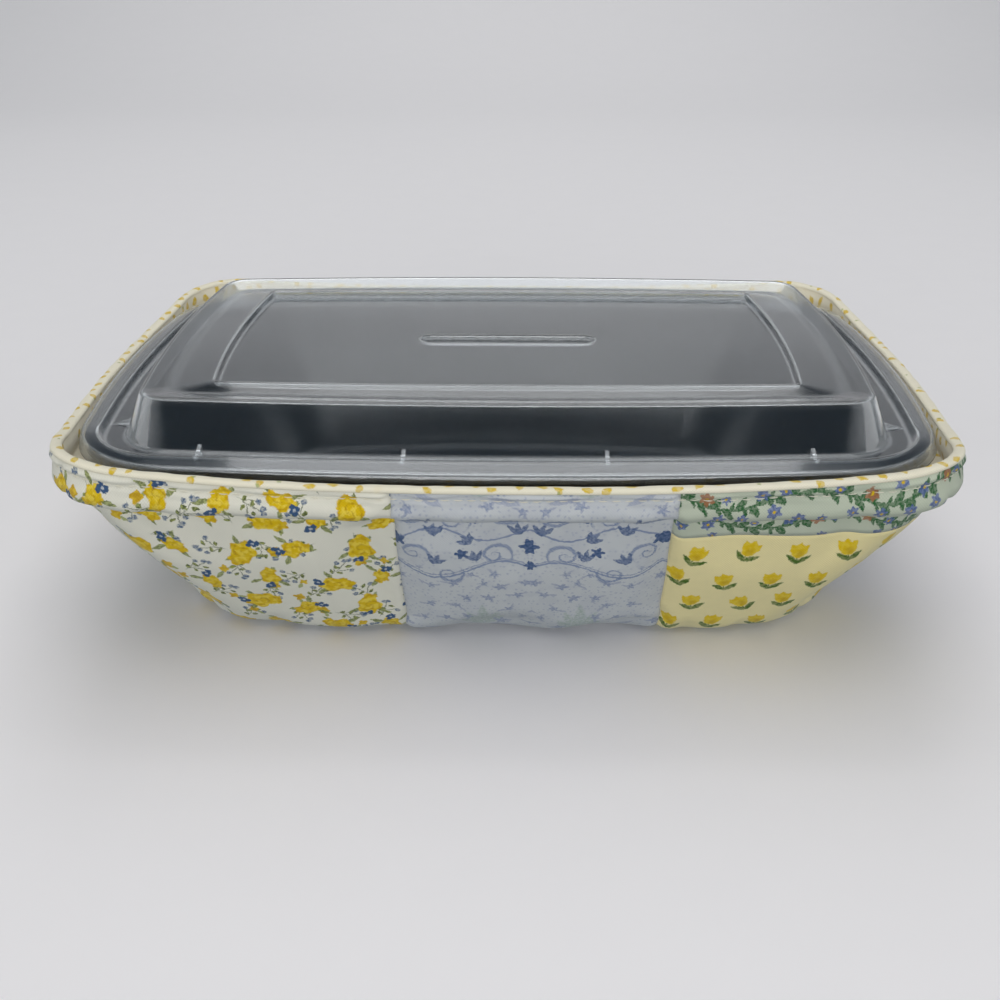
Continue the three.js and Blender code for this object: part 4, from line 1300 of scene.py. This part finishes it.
class COZY_OT_binding(bpy.types.Operator):
    """Roll the strip of lining cloth over the rim"""
    bl_idname = "cozy.binding"
    bl_label = "Rim binding"

    def execute(self, context):
        shape = bowl(context)
        rim = shape.pocket[-1]
        out = shape.out[-1].copy()
        out[:, 2] = 0
        out /= np.linalg.norm(out, axis=1, keepdims=True)
        pucker = np.array([noise.noise(Vector(p) * PUCKER_PACE) for p in rim]) * PUCKER_SIZE
        section = np.array(BINDING_SECTION)
        count = len(section)
        loops = np.empty((count, AROUND, 3))
        for k, (depth, lift) in enumerate(section):
            swell = pucker * (1.0 if 1 < k < BINDING_LAST else PUCKER_INSIDE)
            loops[k] = rim + out * (depth + swell * np.sign(depth - BINDING_MIDDLE))[:, None]
            loops[k, :, 2] += lift + swell
        r, c = np.meshgrid(np.arange(count), np.arange(AROUND), indexing="ij")
        r, c = r.ravel(), c.ravel()
        up, on = (r + 1) % count, (c + 1) % AROUND
        faces = np.stack([r * AROUND + c, up * AROUND + c, up * AROUND + on, r * AROUND + on], 1)
        around = run_along(section)
        around = np.append(around, around[-1])
        uv = np.stack([np.stack([shape.s[c], shape.s[c], shape.s[c + 1], shape.s[c + 1]], 1),
                       np.stack([around[r], around[r + 1], around[r + 1], around[r]], 1)], 2).reshape(-1, 2)
        piece = mesh_piece("rim_binding_strip", loops.reshape(-1, 3), faces.tolist(), [uv])
        settle(piece, "cozy", "lining_cotton", cotton("lining_cotton"), "rim_binding")
        return {"FINISHED"}


STITCH_SIDES, STITCH_RINGS = 6, 7
STITCH_BOW, STITCH_BITE = 1.6, 0.6
STITCH_END = 0.45


class COZY_OT_topstitch(bpy.types.Operator):
    """Sew the line of stitches under the binding"""
    bl_idname = "cozy.topstitch"
    bl_label = "Topstitch"

    def execute(self, context):
        sizes = context.scene.cozy_sizes
        shape = bowl(context)
        level = shape.t[-1] - STITCH_DROP
        up = np.searchsorted(shape.t, level)
        part = (level - shape.t[up - 1]) / (shape.t[up] - shape.t[up - 1])
        path, out = (closed(grid[up - 1] + (grid[up] - grid[up - 1]) * part)
                     for grid in (shape.layer(PAD, 1.0), shape.out))
        run = run_along(path)
        count = int(run[-1] / ((sizes.stitch + sizes.stitch_gap) / MM))
        radius = sizes.thread / MM / 2
        bow = np.sin(np.linspace(0, math.pi, STITCH_RINGS))
        thick = radius * (STITCH_END + (1 - STITCH_END) * bow)
        angles = [2 * math.pi * j / STITCH_SIDES for j in range(STITCH_SIDES)]
        points, faces = [], []
        for n in range(count):
            at = n * run[-1] / count + np.linspace(0, sizes.stitch / MM, STITCH_RINGS)
            away = np.stack([np.interp(at, run, out[:, k]) for k in range(3)], 1)
            spine = np.stack([np.interp(at, run, path[:, k]) for k in range(3)], 1)
            spine = spine + away * (radius * (STITCH_BOW * bow - STITCH_BITE))[:, None]
            along = np.gradient(spine, axis=0)
            along /= np.linalg.norm(along, axis=1, keepdims=True)
            side = np.cross(along, away)
            first = len(points)
            for k in range(STITCH_RINGS):
                points += [spine[k] + thick[k] * (math.cos(angle) * away[k] + math.sin(angle) * side[k])
                           for angle in angles]
            for k in range(first, first + (STITCH_RINGS - 1) * STITCH_SIDES, STITCH_SIDES):
                for j in range(STITCH_SIDES):
                    a, b = k + j, k + (j + 1) % STITCH_SIDES
                    faces.append((a, b, b + STITCH_SIDES, a + STITCH_SIDES))
            faces.append(tuple(range(first, first + STITCH_SIDES))[::-1])
            faces.append(tuple(range(len(points) - STITCH_SIDES, len(points))))
        piece = mesh_piece("rim_stitches", points, faces)
        material = plain_cloth("sewing_thread", context.scene.cozy_colours.thread, 3000.0)
        settle(piece, "cozy", "thread", material, "rim_topstitch")
        return {"FINISHED"}


# The floor runs back to a turn and curves up into the backdrop, in metres
FLOOR_FRONT, FLOOR_TURN, FLOOR_CURVE, FLOOR_HALF = -2.5, 0.9, 0.9, 3.0
BACKDROP_HEIGHTS = (1.6, 3.0)
FLOOR_ROWS, CURVE_ROWS, FLOOR_COLUMNS = 12, 14, 9

# Softboxes with their place, what they are turned to, their size and their power in watts
LIGHTS = (
    ("top_softbox", (0.0, 0.0, 2.0), (0, 0, 0), (2.2, 2.2), 18.4),
    ("back_softbox", (0.0, 1.0, 1.3), (0, 0, 0.05), (1.0, 1.0), 5.8),
    ("low_back_softbox", (0.0, 1.3, 0.6), (0, 0, 0.05), (2.0, 0.5), 0.45),
    ("left_side_softbox", (-1.3, -0.2, 0.42), (0, 0, 0.03), (0.8, 0.8), 2.7),
    ("right_side_softbox", (1.3, -0.2, 0.42), (0, 0, 0.03), (0.8, 0.8), 2.7),
    ("left_front_softbox", (-0.6, -0.8, 1.1), (0, 0, 0.03), (0.4, 0.3), 0.5),
    ("right_front_softbox", (0.6, -0.8, 1.1), (0, 0, 0.03), (0.4, 0.3), 0.4),
    ("low_front_softbox", (0.0, -1.1, 0.26), (0, 0, 0.03), (1.2, 0.42), 7.3),
)
ROOM_TINT, ROOM_LIGHT = (0.6, 0.85, 1.0, 1), 0.1


def lay_floor(looks):
    bend = np.linspace(0, math.pi / 2, CURVE_ROWS)[1:]
    back = FLOOR_TURN + FLOOR_CURVE
    depth = np.concatenate([np.linspace(FLOOR_FRONT, FLOOR_TURN, FLOOR_ROWS),
                            FLOOR_TURN + FLOOR_CURVE * np.sin(bend), [back, back]])
    height = np.concatenate([np.zeros(FLOOR_ROWS),
                             FLOOR_CURVE - FLOOR_CURVE * np.cos(bend), BACKDROP_HEIGHTS])
    grid = np.empty((len(depth), FLOOR_COLUMNS, 3))
    grid[:, :, 0] = np.linspace(-FLOOR_HALF, FLOOR_HALF, FLOOR_COLUMNS)
    grid[:, :, 1] = depth[:, None]
    grid[:, :, 2] = height[:, None]
    faces, _ = grid_faces(len(depth), FLOOR_COLUMNS, False)
    floor = mesh_piece("floor", grid.reshape(-1, 3) / MM, faces.tolist())
    board = Board("floor_paper")
    board.shaded(looks.floor, board.grain(60.0, 3.0) * 0.02 + 0.99)
    board.inputs["Roughness"].default_value = 0.7
    floor.data.materials.append(board.material)
    floor.visible_diffuse = False


class COZY_OT_stage(bpy.types.Operator):
    """Set up the floor, the backdrop, the lights and the camera"""
    bl_idname = "cozy.stage"
    bl_label = "Stage"

    def execute(self, context):
        scene = context.scene
        looks = scene.stage_looks
        lay_floor(looks)
        for name, place, aim, size, power in LIGHTS:
            light = bpy.data.lights.new(name, "AREA")
            light.shape = "RECTANGLE"
            light.size, light.size_y = size
            light.energy = power
            lamp = bpy.data.objects.new(name, light)
            lamp.location = place
            lamp.rotation_euler = (Vector(aim) - Vector(place)).to_track_quat("-Z", "Y").to_euler()
            lamp.visible_camera = False
            scene.collection.objects.link(lamp)
        world = bpy.data.worlds.new("studio")
        world.use_nodes = True
        room = world.node_tree.nodes["Background"].inputs
        room[0].default_value = ROOM_TINT
        room[1].default_value = ROOM_LIGHT
        scene.world = world
        scene.view_settings.view_transform = "Standard"
        lens = bpy.data.cameras.new("camera")
        lens.lens = looks.lens
        lens.sensor_width = 36.0
        lens.clip_start = 0.01
        camera = bpy.data.objects.new("camera", lens)
        camera.location = looks.eye
        camera.rotation_euler = (looks.tilt, 0, looks.pan)
        scene.collection.objects.link(camera)
        scene.camera = camera
        return {"FINISHED"}


class COZY_PT_panel(bpy.types.Panel):
    """Steps that make the cozy and its tub"""
    bl_label = "Bowl cozy"
    bl_idname = "COZY_PT_panel"
    bl_space_type = "VIEW_3D"
    bl_region_type = "UI"
    bl_category = "Cozy"

    def draw(self, context):
        for step in STEPS:
            self.layout.operator(step.bl_idname)


STEPS = (COZY_OT_stage, COZY_OT_wall_patches, COZY_OT_base_patches, COZY_OT_batting, COZY_OT_lining,
         COZY_OT_binding, COZY_OT_topstitch, COZY_OT_tub, COZY_OT_lid)
GROUPS = {"cozy_sizes": CozySizes, "cozy_colours": CozyColours, "plastic_looks": PlasticLooks,
          "stage_looks": StageLooks}


def register():
    for group in GROUPS.values():
        bpy.utils.register_class(group)
    for name, group in GROUPS.items():
        setattr(bpy.types.Scene, name, bpy.props.PointerProperty(type=group))
    for step in STEPS:
        bpy.utils.register_class(step)
    bpy.utils.register_class(COZY_PT_panel)


def unregister():
    bpy.utils.unregister_class(COZY_PT_panel)
    for step in reversed(STEPS):
        bpy.utils.unregister_class(step)
    for name, group in GROUPS.items():
        delattr(bpy.types.Scene, name)
        bpy.utils.unregister_class(group)


def main():
    register()
    bpy.ops.cozy.stage()
    bpy.ops.cozy.wall_patches()
    bpy.ops.cozy.base_patches()
    bpy.ops.cozy.batting()
    bpy.ops.cozy.lining()
    bpy.ops.cozy.binding()
    bpy.ops.cozy.topstitch()
    bpy.ops.cozy.tub()
    bpy.ops.cozy.lid()


if __name__ == "__main__":
    main()
